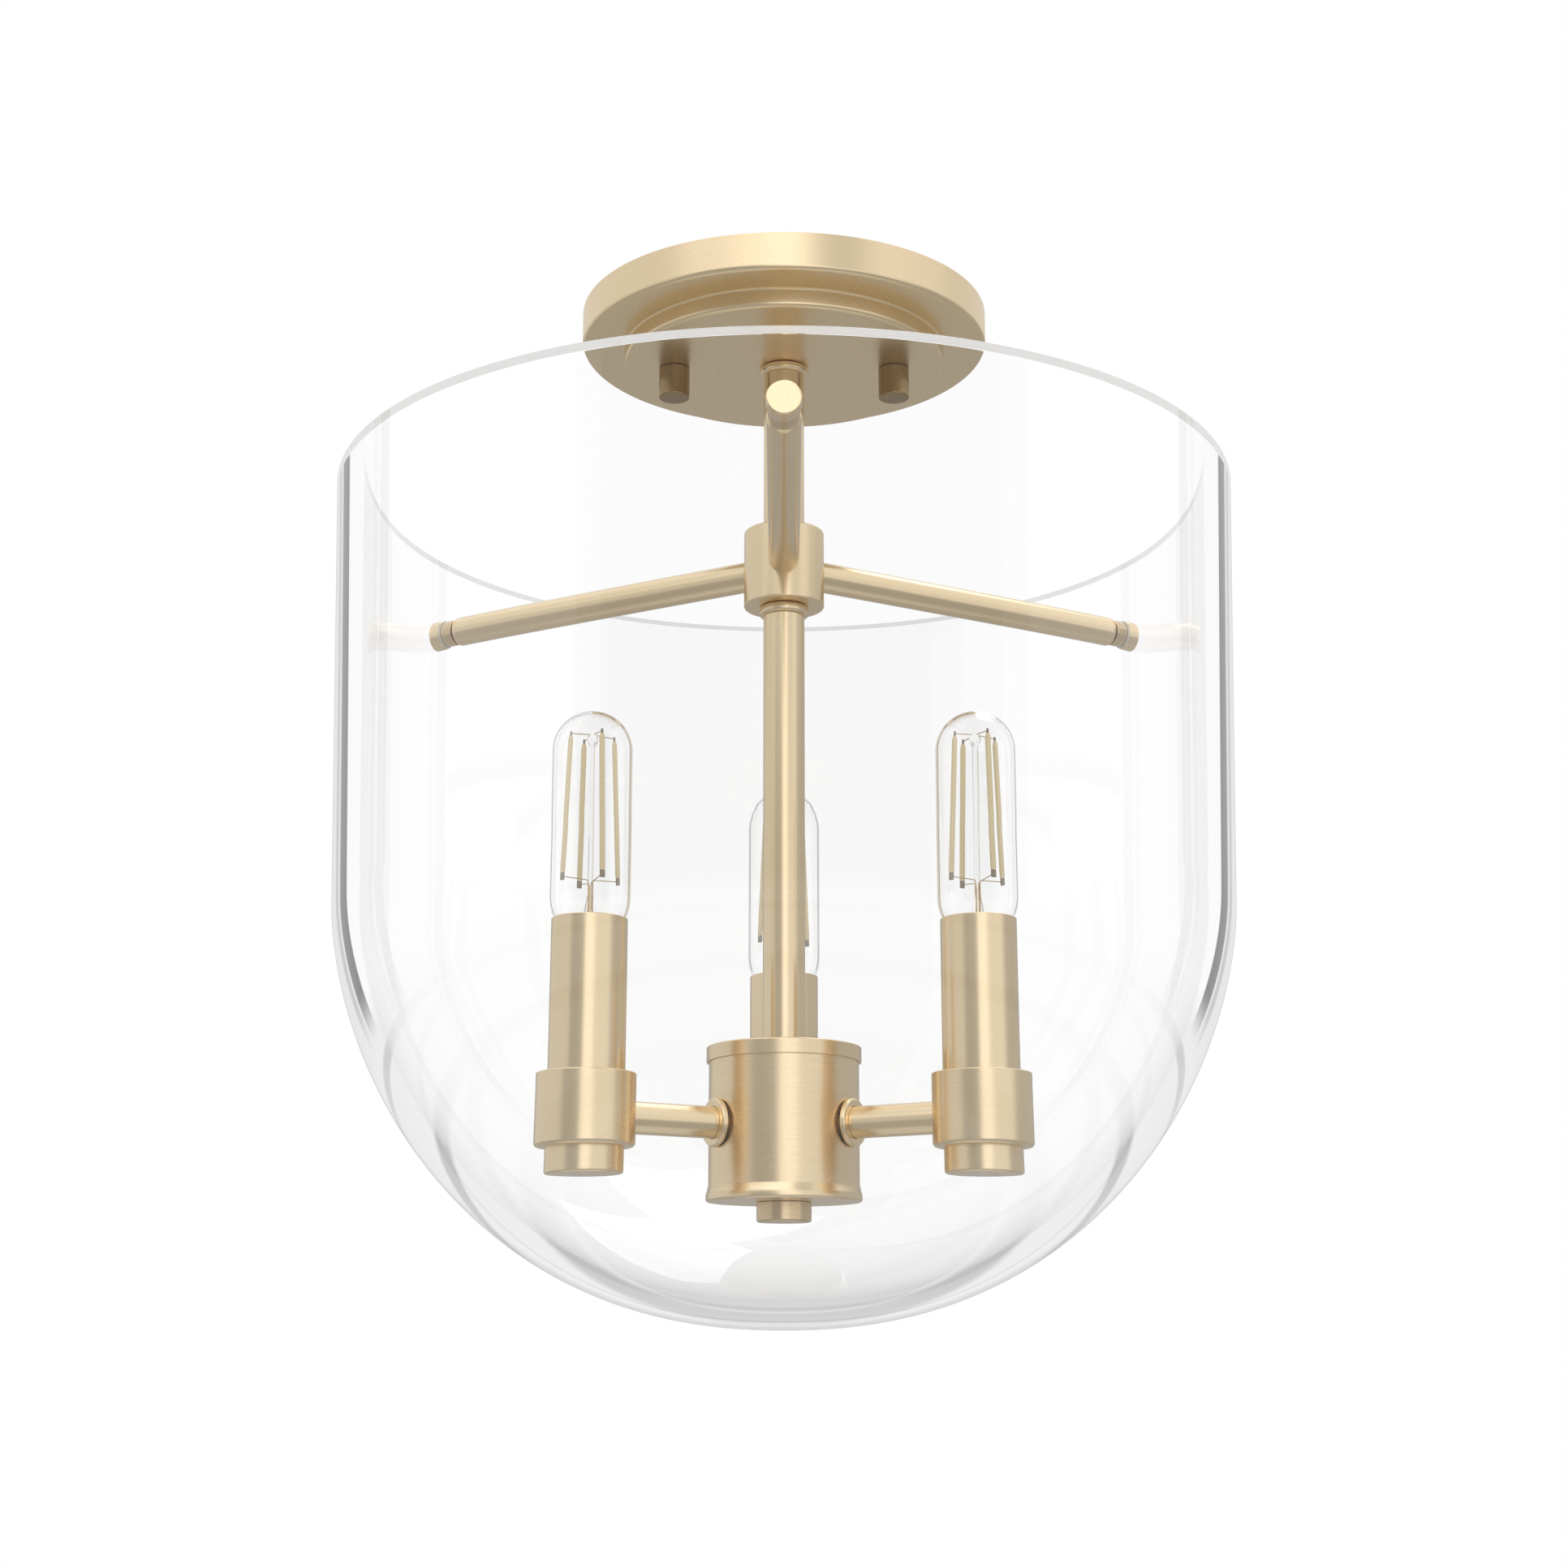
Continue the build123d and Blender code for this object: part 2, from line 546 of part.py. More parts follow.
def bulb_glass(angle):
    radius = BULB_D / 2
    inner_r = radius - BULB_WALL
    crown_z = BULB_TOP_Z - radius
    crown = CenterArc((0, crown_z), radius, 0, 90)
    side = Polyline(*bulb_line(0), (0, BULB_TOP_Z))
    envelope = revolve(Plane.XZ * make_face([crown, side]), Axis.Z)
    steps = [math.radians(90 * step / CROWN_STEPS) for step in range(CROWN_STEPS, 0, -1)]
    inner_crown = [(inner_r * math.cos(a), crown_z + inner_r * math.sin(a)) for a in steps]
    inner_crown[0] = (0, crown_z + inner_r)
    return at_lamp(envelope - turned(inner_crown + bulb_line(BULB_WALL)), angle)


def bulb_base(angle):
    """Screw base: a cup for the throat of the glass above, a tapered end below."""
    radius = BULB_BASE_D / 2
    cup_r = BULB_THROAT_D / 2 + SLIP_GAP
    cup_floor = THROAT_END_Z - SLIP_GAP
    taper = radius - CONTACT_D / 2
    outline = [
        (0, BULB_BASE_END_Z), (CONTACT_D / 2, BULB_BASE_END_Z), (radius, BULB_BASE_END_Z + taper),
        (radius, BULB_BASE_TOP_Z), (cup_r, BULB_BASE_TOP_Z), (cup_r, cup_floor), (0, cup_floor),
    ]
    return at_lamp(turned(outline), angle)


def bulb_contact(angle):
    """Insulator and centre contact at the very end of the base."""
    tip_r = CONTACT_TIP_D / 2
    top = BULB_BASE_END_Z - SEAT_GAP
    outline = [(0, top), (CONTACT_D / 2, top), (tip_r, CONTACT_END_Z), (0, CONTACT_END_Z)]
    return at_lamp(turned(outline), angle)


def filament_points(turn):
    """Top and foot of one filament strip, leaning outwards."""
    spin = math.radians(turn)
    top = Vector(FILAMENT_TOP_R * math.cos(spin), FILAMENT_TOP_R * math.sin(spin), FILAMENT_TOP_Z)
    foot = Vector(
        FILAMENT_FOOT_R * math.cos(spin), FILAMENT_FOOT_R * math.sin(spin), FILAMENT_FOOT_Z
    )
    return top, foot


def bar_between(start, end, width, thickness, side):
    """Straight bar of rectangular section; side is the direction of its width."""
    place = Plane(origin=start, x_dir=side, z_dir=end - start)
    return extrude(place * Rectangle(width, thickness), (end - start).length)


def glass_mount():
    """Glass stem with its flare, and the wires that hold the strips."""
    rod_r = MOUNT_ROD_D / 2
    outline = [
        (0, THROAT_END_Z), (MOUNT_FLARE_D / 2, THROAT_END_Z), (rod_r, FILAMENT_FOOT_Z - MOUNT_ROD_D),
        (rod_r, FILAMENT_TOP_Z + MOUNT_ROD_D), (0, FILAMENT_TOP_Z + MOUNT_ROD_D),
    ]
    mount = turned(outline)
    for turn in range(4):
        top, foot = filament_points(FILAMENT_TURN + 90 * turn)
        for end in (top, foot):
            outward_line = Vector(end.X, end.Y, 0).normalized()
            side = Vector(-end.Y, end.X, 0).normalized()
            reach = end - outward_line * (FILAMENT_T / 2 + SLIP_GAP / 2)
            mount += bar_between(Vector(0, 0, end.Z), reach, WIRE, WIRE, side)
    return mount


def bulb_filaments(angle):
    strips = []
    for turn in range(4):
        top, foot = filament_points(FILAMENT_TURN + 90 * turn)
        lean = (top - foot).normalized() * WIRE
        side = Vector(-top.Y, top.X, 0).normalized()
        strips.append(bar_between(foot - lean, top + lean, FILAMENT_W, FILAMENT_T, side))
    return [at_lamp(piece, angle) for piece in [glass_mount()] + strips]


# ---------------------------------------------------------------- the whole light
def column_nodes():
    return {
        "mounting_bracket": mounting_bracket(),
        "canopy_studs": canopy_studs(),
        "stud_locknuts": stud_locknuts(),
        "ground_screw": ground_screw(),
        "canopy": canopy(),
        "canopy_nut_left": canopy_nut(-1),
        "canopy_nut_right": canopy_nut(1),
        "threaded_pipe": threaded_pipe(),
        "pipe_locknut": pipe_locknut(),
        "stem_collar": collar(STEM_COLLAR_D, UPPER_STEM_TOP_Z, CANOPY_FACE_Z),
        "upper_stem": stem(HUB_TOP_Z, UPPER_STEM_TOP_Z),
        "hub": hub(),
        "hub_collar": collar(HUB_COLLAR_D, LOWER_STEM_TOP_Z, HUB_BOTTOM_Z),
        "lower_stem": stem(CLUSTER_TOP_Z, LOWER_STEM_TOP_Z),
        "glass_shade": glass_shade(),
        "shade_bushings": shade_bushings(),
        "cluster_top_cap": cluster_top_cap(),
        "cluster_body": cluster_body(),
        "cluster_bottom_cap": cluster_bottom_cap(),
        "cluster_finial": cluster_finial(),
        "arm_rosettes": arm_rosettes(),
    }


def all_nodes():
    nodes = column_nodes()
    for name, angle in ARM_ANGLES.items():
        for make in (shade_arm, shade_washer, shade_cap):
            nodes[f"{make.__name__}_{name}"] = make(angle)
    lamp_makers = (
        lamp_arm, socket_cup, cup_base, lamp_socket, candle_sleeve,
        bulb_base, bulb_contact, bulb_glass, bulb_filaments,
    )
    for name, angle in LAMP_ANGLES.items():
        for make in lamp_makers:
            nodes[f"{make.__name__}_{name}"] = make(angle)
    return nodes


def main():
    os.makedirs("parts", exist_ok=True)
    for name, piece in all_nodes().items():
        solids = piece if isinstance(piece, list) else [piece]
        shapes = [solid for item in solids for solid in item.solids()]
        export_step(Compound(children=shapes) if len(shapes) > 1 else shapes[0], f"parts/{name}.step")


main()
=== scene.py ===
import math

import bmesh
import bpy
from mathutils import Matrix, Vector


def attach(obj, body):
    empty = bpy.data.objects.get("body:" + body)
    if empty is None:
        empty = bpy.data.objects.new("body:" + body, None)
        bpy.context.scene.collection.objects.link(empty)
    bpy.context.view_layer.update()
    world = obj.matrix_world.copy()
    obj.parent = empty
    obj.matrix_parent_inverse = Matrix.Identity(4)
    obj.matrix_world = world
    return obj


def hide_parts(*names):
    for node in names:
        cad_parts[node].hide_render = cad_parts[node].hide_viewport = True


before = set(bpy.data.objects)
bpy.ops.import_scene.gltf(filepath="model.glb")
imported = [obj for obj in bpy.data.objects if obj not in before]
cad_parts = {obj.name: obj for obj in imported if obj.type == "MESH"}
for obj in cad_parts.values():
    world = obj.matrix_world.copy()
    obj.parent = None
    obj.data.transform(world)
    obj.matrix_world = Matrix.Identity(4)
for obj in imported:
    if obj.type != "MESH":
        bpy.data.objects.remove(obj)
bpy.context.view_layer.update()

# Sizes are in millimetres in the same frame as the model, and become metres where a mesh is made
# or a piece is placed. Only the light and the camera are placed in metres.
MM = 0.001
ARMS = {"front": -90, "right": 30, "left": 150}      # degrees round Z
LAMPS = {"right": -30, "left": -150, "back": 90}
LAMP_CIRCLE_R = 77.1
ARM_Z = -101.2
LAMP_ARM_Z = -307.0

# ------------------------------------------------------------------ node helpers


def new_material(name):
    mat = bpy.data.materials.new(name)
    mat.use_nodes = True
    return mat, mat.node_tree, mat.node_tree.nodes["Principled BSDF"]


def add(tree, kind, **values):
    """A node with its properties set, and its inputs set or linked. in0 is the first input."""
    node = tree.nodes.new(kind)
    for key, value in values.items():
        if hasattr(node, key):
            setattr(node, key, value)
            continue
        socket = node.inputs[int(key[2:])] if key.startswith("in") else node.inputs[key]
        if isinstance(value, bpy.types.NodeSocket):
            tree.links.new(value, socket)
        else:
            socket.default_value = value
    return node


def maths(tree, operation, a, b=0.0):
    return add(tree, "ShaderNodeMath", operation=operation, in0=a, in1=b).outputs[0]


def smooth_step(tree, value, low, high, out_low=0.0, out_high=1.0):
    node = add(tree, "ShaderNodeMapRange", interpolation_type="SMOOTHSTEP", in0=value, in1=low,
               in2=high, in3=out_low, in4=out_high)
    return node.outputs[0]


def ramp(tree, value, *stops):
    """Colour that goes from the first (place, colour) to the second."""
    node = add(tree, "ShaderNodeValToRGB", Fac=value)
    for element, (place, colour) in zip(node.color_ramp.elements, stops):
        element.position = place
        element.color = (*colour, 1)
    return node.outputs[0]


def bump(tree, height, strength, distance):
    node = add(tree, "ShaderNodeBump", Height=height, Strength=strength, Distance=distance * MM)
    return node.outputs[0]


def noise(tree, scale, detail):
    """Noise on the piece's own coordinates."""
    spot = add(tree, "ShaderNodeTexCoord").outputs["Object"]
    return add(tree, "ShaderNodeTexNoise", Vector=spot, Scale=scale, Detail=detail).outputs[0]


# ------------------------------------------------------------------ materials
MIX_LOW, MIX_HIGH = 0.30, 0.70         # noise where the dark and the light colour are reached
ROUGH_LOW, ROUGH_HIGH = 0.25, 0.75     # noise where the brass is roughest and smoothest
BRASS_SWING, SPECKLE_SWING = 0.04, 0.06    # how far the roughness goes either way
GRAIN_DEPTH, SPECKLE_DEPTH, WAVE_DEPTH = 0.03, 0.05, 0.5
LEAST_RADIUS = 1e-5                    # in metres: keeps the axis out of the division


def turned_coordinate(tree, stretch, pitch):
    """Coordinate that runs slowly round a lathe piece's own axis and fast across its grooves."""
    spot = add(tree, "ShaderNodeTexCoord").outputs["Object"]
    x, y, z = add(tree, "ShaderNodeSeparateXYZ", in0=spot).outputs
    squares = maths(tree, "ADD", maths(tree, "MULTIPLY", x, x), maths(tree, "MULTIPLY", y, y))
    radius = maths(tree, "MAXIMUM", maths(tree, "SQRT", squares), LEAST_RADIUS)
    across = maths(tree, "MULTIPLY", maths(tree, "ADD", z, radius), pitch)
    around_x = maths(tree, "MULTIPLY", maths(tree, "DIVIDE", x, radius), stretch)
    around_y = maths(tree, "MULTIPLY", maths(tree, "DIVIDE", y, radius), stretch)
    return add(tree, "ShaderNodeCombineXYZ", in0=around_x, in1=around_y, in2=across).outputs[0]


def brass(name, light, dark, rough, groove, ring_share, pitch=2600.0, stretch=1.6):
    """Satin brass: fine rings and a fine grain in the colour, the roughness and the relief."""
    mat, tree, shader = new_material(name)
    rings = add(tree, "ShaderNodeTexNoise", Vector=turned_coordinate(tree, stretch, pitch),
                Scale=1.0, Detail=3.0, Roughness=0.6).outputs[0]
    grain = noise(tree, scale=2600.0, detail=2.0)
    mix = maths(tree, "ADD", maths(tree, "MULTIPLY", rings, ring_share),
                maths(tree, "MULTIPLY", grain, 1.0 - ring_share))
    colour = ramp(tree, mix, (MIX_LOW, dark), (MIX_HIGH, light))
    roughness = smooth_step(tree, mix, ROUGH_LOW, ROUGH_HIGH, rough + BRASS_SWING,
                            rough - BRASS_SWING)
    tree.links.new(colour, shader.inputs["Base Color"])
    tree.links.new(roughness, shader.inputs["Roughness"])
    tree.links.new(bump(tree, mix, groove, GRAIN_DEPTH), shader.inputs["Normal"])
    shader.inputs["Metallic"].default_value = 1.0
    return mat


def glass(name, ior, wave, wave_scale):
    """Clear glass with a faint waviness."""
    mat, tree, shader = new_material(name)
    waves = noise(tree, scale=wave_scale, detail=1.0)
    tree.links.new(bump(tree, waves, wave, WAVE_DEPTH), shader.inputs["Normal"])
    shader.inputs["Base Color"].default_value = (1.0, 1.0, 1.0, 1)
    shader.inputs["Roughness"].default_value = 0.0
    shader.inputs["IOR"].default_value = ior
    shader.inputs["Transmission Weight"].default_value = 1.0
    return mat


def ground_glass(name):
    """The flat top edge of the bowl: half clear and fine ground. Its weak glow stands in for the
    light that runs up inside the wall."""
    mat, tree, shader = new_material(name)
    grain = noise(tree, scale=1800.0, detail=2.0)
    colour = ramp(tree, grain, (MIX_LOW, (0.93, 0.94, 0.94)), (MIX_HIGH, (0.98, 0.98, 0.98)))
    roughness = smooth_step(tree, grain, MIX_LOW, MIX_HIGH, out_low=0.42, out_high=0.32)
    tree.links.new(colour, shader.inputs["Base Color"])
    tree.links.new(roughness, shader.inputs["Roughness"])
    shader.inputs["Emission Color"].default_value = (1.0, 1.0, 1.0, 1)
    shader.inputs["Emission Strength"].default_value = 0.30
    shader.inputs["IOR"].default_value = 1.40
    shader.inputs["Transmission Weight"].default_value = 0.55
    return mat


def speckled(name, light, dark, scale, rough, metallic=0.0, relief=0.2):
    """A plain finish with fine mottling: plated steel, moulded plastic, paint or coating."""
    mat, tree, shader = new_material(name)
    mottle = noise(tree, scale, detail=4.0)
    colour = ramp(tree, mottle, (MIX_LOW, dark), (MIX_HIGH, light))
    roughness = smooth_step(tree, mottle, MIX_LOW, MIX_HIGH, rough + SPECKLE_SWING,
                            rough - SPECKLE_SWING)
    tree.links.new(colour, shader.inputs["Base Color"])
    tree.links.new(roughness, shader.inputs["Roughness"])
    tree.links.new(bump(tree, mottle, relief, SPECKLE_DEPTH), shader.inputs["Normal"])
    shader.inputs["Metallic"].default_value = metallic
    return mat


# brass: light, dark, roughness, relief, share of the rings in the mix, their pitch and stretch
BRASS_LIGHT = (0.905, 0.735, 0.485)
BRASS_DARK = (0.85, 0.685, 0.445)
CANOPY_BRASS = brass("brass_canopy", BRASS_LIGHT, BRASS_DARK, 0.29, 0.02, 0.25, 2200.0, 1.2)
TUBE_BRASS = brass("brass_tube", BRASS_LIGHT, BRASS_DARK, 0.24, 0.015, 0.3, 1800.0, 1.0)
CAN_BRASS = brass("brass_brushed", BRASS_LIGHT, (0.84, 0.675, 0.44), 0.26, 0.07, 0.75, 2800.0, 3.0)
# The finial's brass is darker than the rest: painted shade for the underside of the can.
SHADED_FINIAL_BRASS = brass("brass_finial_painted_shade", (0.74, 0.58, 0.37), (0.66, 0.50, 0.31), 0.26, 0.03, 0.5)
CUP_BRASS = brass("brass_satin", BRASS_LIGHT, BRASS_DARK, 0.26, 0.02, 0.35, 2400.0, 1.5)
# The neck is darker and more coppery than the rest: painted shade and reflection for the neck seen
# in the glass hole. Its thread relief is real.
SHADED_NECK_BRASS = brass("brass_threaded", (0.80, 0.62, 0.38), (0.64, 0.48, 0.28), 0.26, 0.08, 0.95,
                   900.0, 0.2)
# The knurled nuts' brass is much darker than the rest: painted shade for the nuts under the canopy.
SHADED_KNURL_BRASS = brass("brass_knurled", (0.40, 0.28, 0.14), (0.28, 0.19, 0.09), 0.26, 0.05, 0.5)
BASE_BRASS = brass("brass_lamp_base", (0.80, 0.66, 0.42), (0.66, 0.52, 0.30), 0.22, 0.05, 0.5)
# glass: refractive index, waviness, scale of the waves
SHADE_GLASS = glass("glass_bowl", 1.40, 0.004, 9.0)
RIM_GLASS = ground_glass("glass_rim")
BULB_GLASS = glass("glass_bulb", 1.46, 0.004, 30.0)
STEM_GLASS = glass("glass_lamp_stem", 1.46, 0.02, 400.0)
# speckled: light, dark, scale, roughness, and where needed metallic and relief
ZINC = speckled("zinc_plated_steel", (0.66, 0.66, 0.64), (0.50, 0.50, 0.49), 260.0, 0.32, 1.0)
GREEN = speckled("ground_green", (0.035, 0.30, 0.10), (0.02, 0.22, 0.07), 400.0, 0.30)
NYLON = speckled("clear_nylon", (0.78, 0.75, 0.68), (0.66, 0.63, 0.56), 500.0, 0.42)
PHENOLIC = speckled("socket_phenolic", (0.045, 0.040, 0.036), (0.025, 0.022, 0.02), 700.0, 0.38)
INSULATOR = speckled("contact_glass", (0.05, 0.05, 0.06), (0.02, 0.02, 0.025), 600.0, 0.15)
COATING = speckled("filament_coating", (0.88, 0.76, 0.48), (0.80, 0.66, 0.38), 2400.0, 0.75,
                   relief=0.5)
CLIP = speckled("filament_clip", (0.36, 0.31, 0.24), (0.24, 0.20, 0.15), 2000.0, 0.35, 1.0)
WIRE = speckled("lead_wire", (0.72, 0.54, 0.24), (0.58, 0.42, 0.18), 2500.0, 0.30, 1.0)
FLOOR = speckled("studio_floor", (0.66, 0.66, 0.66), (0.64, 0.64, 0.64), 3.0, 0.85, relief=0.02)

# ------------------------------------------------------------------ mesh helpers
ARC_STEP = math.radians(16)   # longest step of the arc at a rounded corner
SUPPORT = 0.22                # distance of the extra point on each side of an arc
SUPPORT_SHARE = 0.3           # but no more than this share of what is left of the flat
SHARP = math.radians(34)      # an edge that turns more than this stays sharp
ON_AXIS = 1e-6                # up to this radius a point is on the axis
MERGE = 1e-7                  # in metres: points this near become one
ROUND_SIDES = 96


def eased(corners):
    """Outline from (radius, height, rounding): arcs at the corners, with a point each side of
    an arc that keeps the flats flat under smooth shading."""
    out = []
    for i, corner in enumerate(corners):
        x, y, rounding = (*corner, 0.0)[:3]
        if rounding <= 0:
            out.append((x, y))
            continue
        spot = Vector((x, y))
        back = Vector(corners[i - 1][:2]) - spot
        ahead = Vector(corners[(i + 1) % len(corners)][:2]) - spot
        u, v = back.normalized(), ahead.normalized()
        half = u.angle(v) / 2
        cut = rounding / math.tan(half)
        centre = spot + (u + v).normalized() * (rounding / math.sin(half))
        start, end = spot + u * cut - centre, spot + v * cut - centre
        sweep = math.pi - 2 * half
        turn = sweep if start.x * end.y - start.y * end.x > 0 else -sweep
        steps = max(2, math.ceil(sweep / ARC_STEP))
        support_in = min(SUPPORT, (back.length - cut) * SUPPORT_SHARE)
        support_out = min(SUPPORT, (ahead.length - cut) * SUPPORT_SHARE)
        out.append(tuple(spot + u * (cut + support_in)))
        for step in range(steps + 1):
            a = turn * step / steps
            out.append((centre.x + start.x * math.cos(a) - start.y * math.sin(a),
                        centre.y + start.x * math.sin(a) + start.y * math.cos(a)))
        out.append(tuple(spot + v * (cut + support_out)))
    return out


def add_ring(verts, radius, height, angles):
    """Adds a ring of vertices, or one vertex on the axis, and returns their numbers."""
    start = len(verts)
    if radius <= ON_AXIS:
        verts.append((0, 0, height))
    else:
        verts.extend((radius * math.cos(a), radius * math.sin(a), height) for a in angles)
    return list(range(start, len(verts)))


def add_band(faces, a, b, skip=()):
    """Adds the faces between two rings, of which either may be one vertex."""
    sides = max(len(a), len(b))
    for k in range(sides):
        n = (k + 1) % sides
        if k in skip:
            continue
        if len(a) == 1:
            faces.append((a[0], b[n], b[k]))
        elif len(b) == 1:
            faces.append((a[k], a[n], b[0]))
        else:
            faces.append((a[k], a[n], b[n], b[k]))


def round_angles(sides):
    """Angles of a full turn in equal steps."""
    return [2 * math.pi * k / sides for k in range(sides)]


def add_object(name, mesh, material, sharp=SHARP):
    """Object in the scene from a mesh, smooth but for its sharp edges."""
    mesh.shade_smooth()
    mesh.set_sharp_from_angle(angle=sharp)
    mesh.materials.clear()
    mesh.materials.append(material)
    obj = bpy.data.objects.new(name, mesh)
    bpy.context.scene.collection.objects.link(obj)
    return obj


def add_mesh(name, verts, faces, material):
    """Object from points in millimetres, with double points merged and all faces turned out."""
    mesh = bpy.data.meshes.new(name)
    mesh.from_pydata([Vector(v) * MM for v in verts], [], faces)
    bm = bmesh.new()
    bm.from_mesh(mesh)
    bmesh.ops.remove_doubles(bm, verts=bm.verts, dist=MERGE)
    bmesh.ops.recalc_face_normals(bm, faces=bm.faces)
    bm.to_mesh(mesh)
    bm.free()
    return add_object(name, mesh, material)


def lathe(name, corners, material, sides=ROUND_SIDES, knurl=None):
    """Turns an outline round local Z. An outline that starts on the axis is turned as it is, and
    any other is closed into a ring. knurl = (flutes, depth, low, high, radius) cuts flutes between
    two heights, where the outline is outside that radius."""
    outline = eased(corners)
    verts, faces, rings = [], [], []
    angles = round_angles(sides)
    for radius, height in outline:
        ring = add_ring(verts, radius, height, angles)
        if knurl:
            flutes, depth, low, high, inside = knurl
            if low <= height <= high and radius > inside:
                for v, a in zip(ring, angles):
                    r = radius - depth * (0.5 - 0.5 * math.cos(a * flutes))
                    verts[v] = (r * math.cos(a), r * math.sin(a), height)
        rings.append(ring)
    closing = rings[:1] if outline[0][0] > 0 else []
    for a, b in zip(rings, rings[1:] + closing):
        add_band(faces, a, b)
    return add_mesh(name, verts, faces, material)


def lay(obj, angle, height):
    """Lays an upright piece along the outward line at this angle and height."""
    turn = Matrix.Rotation(math.radians(angle), 4, "Z") @ Matrix.Rotation(math.radians(90), 4, "Y")
    obj.matrix_world = Matrix.Translation((0, 0, height * MM)) @ turn
    return obj


def at_lamp(obj, angle):
    """Moves an upright piece from the middle out to the lamp at this angle."""
    a = math.radians(angle)
    obj.location = (LAMP_CIRCLE_R * MM * math.cos(a), LAMP_CIRCLE_R * MM * math.sin(a), 0)
    return obj


def fit(obj, node, body):
    """Stands the piece in for its node: it rides on the body, and the node is hidden."""
    bpy.context.view_layer.update()
    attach(obj, body)
    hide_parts(node)


def let_light_in(obj):
    """Clear glass casts no shadow here, and the brass mirrors the studio straight through it."""
    obj.visible_shadow = False
    obj.visible_glossy = False
    obj.visible_diffuse = False
    return obj


def wires(name, runs, radius, material):
    """Round wires along runs of points, with capped ends."""
    curve = bpy.data.curves.new(name + "_line", "CURVE")
    curve.dimensions = "3D"
    curve.bevel_depth = radius * MM
    curve.bevel_resolution = WIRE_BEVEL
    curve.use_fill_caps = True
    for points in runs:
        spline = curve.splines.new("POLY")
        spline.points.add(len(points) - 1)
        for spot, point in zip(spline.points, points):
            spot.co = (*(Vector(point) * MM), 1)
    source = bpy.data.objects.new(name + "_line", curve)
    mesh = bpy.data.meshes.new_from_object(source)
    bpy.data.objects.remove(source)
    bpy.data.curves.remove(curve)
    return add_object(name, mesh, material)


def rod_corners(radius, low, high, bore, rounding):
    """Outline of a tube with both outer edges eased."""
    return [(bore, low), (radius, low, rounding), (radius, high, rounding), (bore, high)]


# ------------------------------------------------------------------ ceiling side and column
CANOPY_SIDES = 192
CANOPY_FACE_Z = -21.2
PIPE_HOLE_R = 5.1
STEM_R = 7.6
STEM_TOP_Z = -24.4
HUB_TOP_Z = -86.75
HUB_BOTTOM_Z = -115.65
HUB_COLLAR_Z = -119.25
CAN_TOP_Z = -279.0
CAN_FLOOR_Z = -332.0
CAN_BOTTOM_Z = -333.6
CAP_R = 27.5              # the caps of the can stand out a little
CAP_SKIRT_R = 26.7
FINIAL_R = 9.65
NUT_X = 41.5
NUT_R = 5.75
NUT_SIDES = 176           # four to a flute
NUT_KNURL = (44, 0.07, -32.1, -22.1, 5.5)   # flutes, depth, low, high, radius


def make_column():
    canopy = [
        (76.2, 0.0), (76.2, -14.0, 1.6), (60.3, -14.0, 0.7), (60.3, CANOPY_FACE_Z, 1.6),
        (5.2, CANOPY_FACE_Z), (5.2, -20.0), (59.1, -20.0, 0.5), (59.1, -12.8, 1.7),
        (75.0, -12.8, 0.5), (75.0, 0.0),
    ]
    fit(lathe("canopy_pan", canopy, CANOPY_BRASS, CANOPY_SIDES), "canopy", "fixture")
    for node, radius, low, high, rounding in (
        ("stem_collar", 9.25, STEM_TOP_Z, -21.25, 1.2),
        ("upper_stem", STEM_R, HUB_TOP_Z, STEM_TOP_Z, 0.15),
        ("hub", 14.8, HUB_BOTTOM_Z, HUB_TOP_Z, 0.55),
        ("hub_collar", 9.15, HUB_COLLAR_Z, HUB_BOTTOM_Z, 1.2),
        ("lower_stem", STEM_R, CAN_TOP_Z, HUB_COLLAR_Z, 0.15),
    ):
        corners = rod_corners(radius, low, high, PIPE_HOLE_R, rounding)
        fit(lathe(node + "_turned", corners, TUBE_BRASS), node, "fixture")
    top_cap = [
        (PIPE_HOLE_R, CAN_TOP_Z), (CAP_R, CAN_TOP_Z, 0.45), (CAP_R, -284.3, 0.15),
        (CAP_SKIRT_R, -284.3), (CAP_SKIRT_R, -280.6), (PIPE_HOLE_R, -280.6),
    ]
    can = rod_corners(26.6, CAN_FLOOR_Z, -280.65, 25.45, 0.1)
    bottom_cap = [
        (PIPE_HOLE_R, CAN_BOTTOM_Z), (CAP_R, CAN_BOTTOM_Z, 0.9), (CAP_R, -331.4), (27.3, -330.5),
        (27.0, -329.6), (26.8, -328.3), (CAP_SKIRT_R, -328.3), (CAP_SKIRT_R, CAN_FLOOR_Z),
        (PIPE_HOLE_R, CAN_FLOOR_Z),
    ]
    finial = [(0, -333.7), (FINIAL_R, -333.7, 0.15), (FINIAL_R, -340.7, 0.9), (0, -340.7)]
    for node, corners, material, body in (
        ("cluster_top_cap", top_cap, CAN_BRASS, "fixture"),
        ("cluster_body", can, CAN_BRASS, "fixture"),
        ("cluster_bottom_cap", bottom_cap, CAN_BRASS, "fixture"),
        ("cluster_finial", finial, SHADED_FINIAL_BRASS, "finial"),
    ):
        fit(lathe(node + "_turned", corners, material), node, body)
    nut = [(0, -21.3), (NUT_R, -21.3, 0.3), (NUT_R, -22.2), (NUT_R, -32.0), (NUT_R, -33.0, 0.45),
           (0, -33.0)]
    for side, x in (("left", -NUT_X), ("right", NUT_X)):
        node = "canopy_nut_" + side
        obj = lathe(node + "_knurled", nut, SHADED_KNURL_BRASS, NUT_SIDES, NUT_KNURL)
        obj.location = (x * MM, 0, 0)
        fit(obj, node, node)


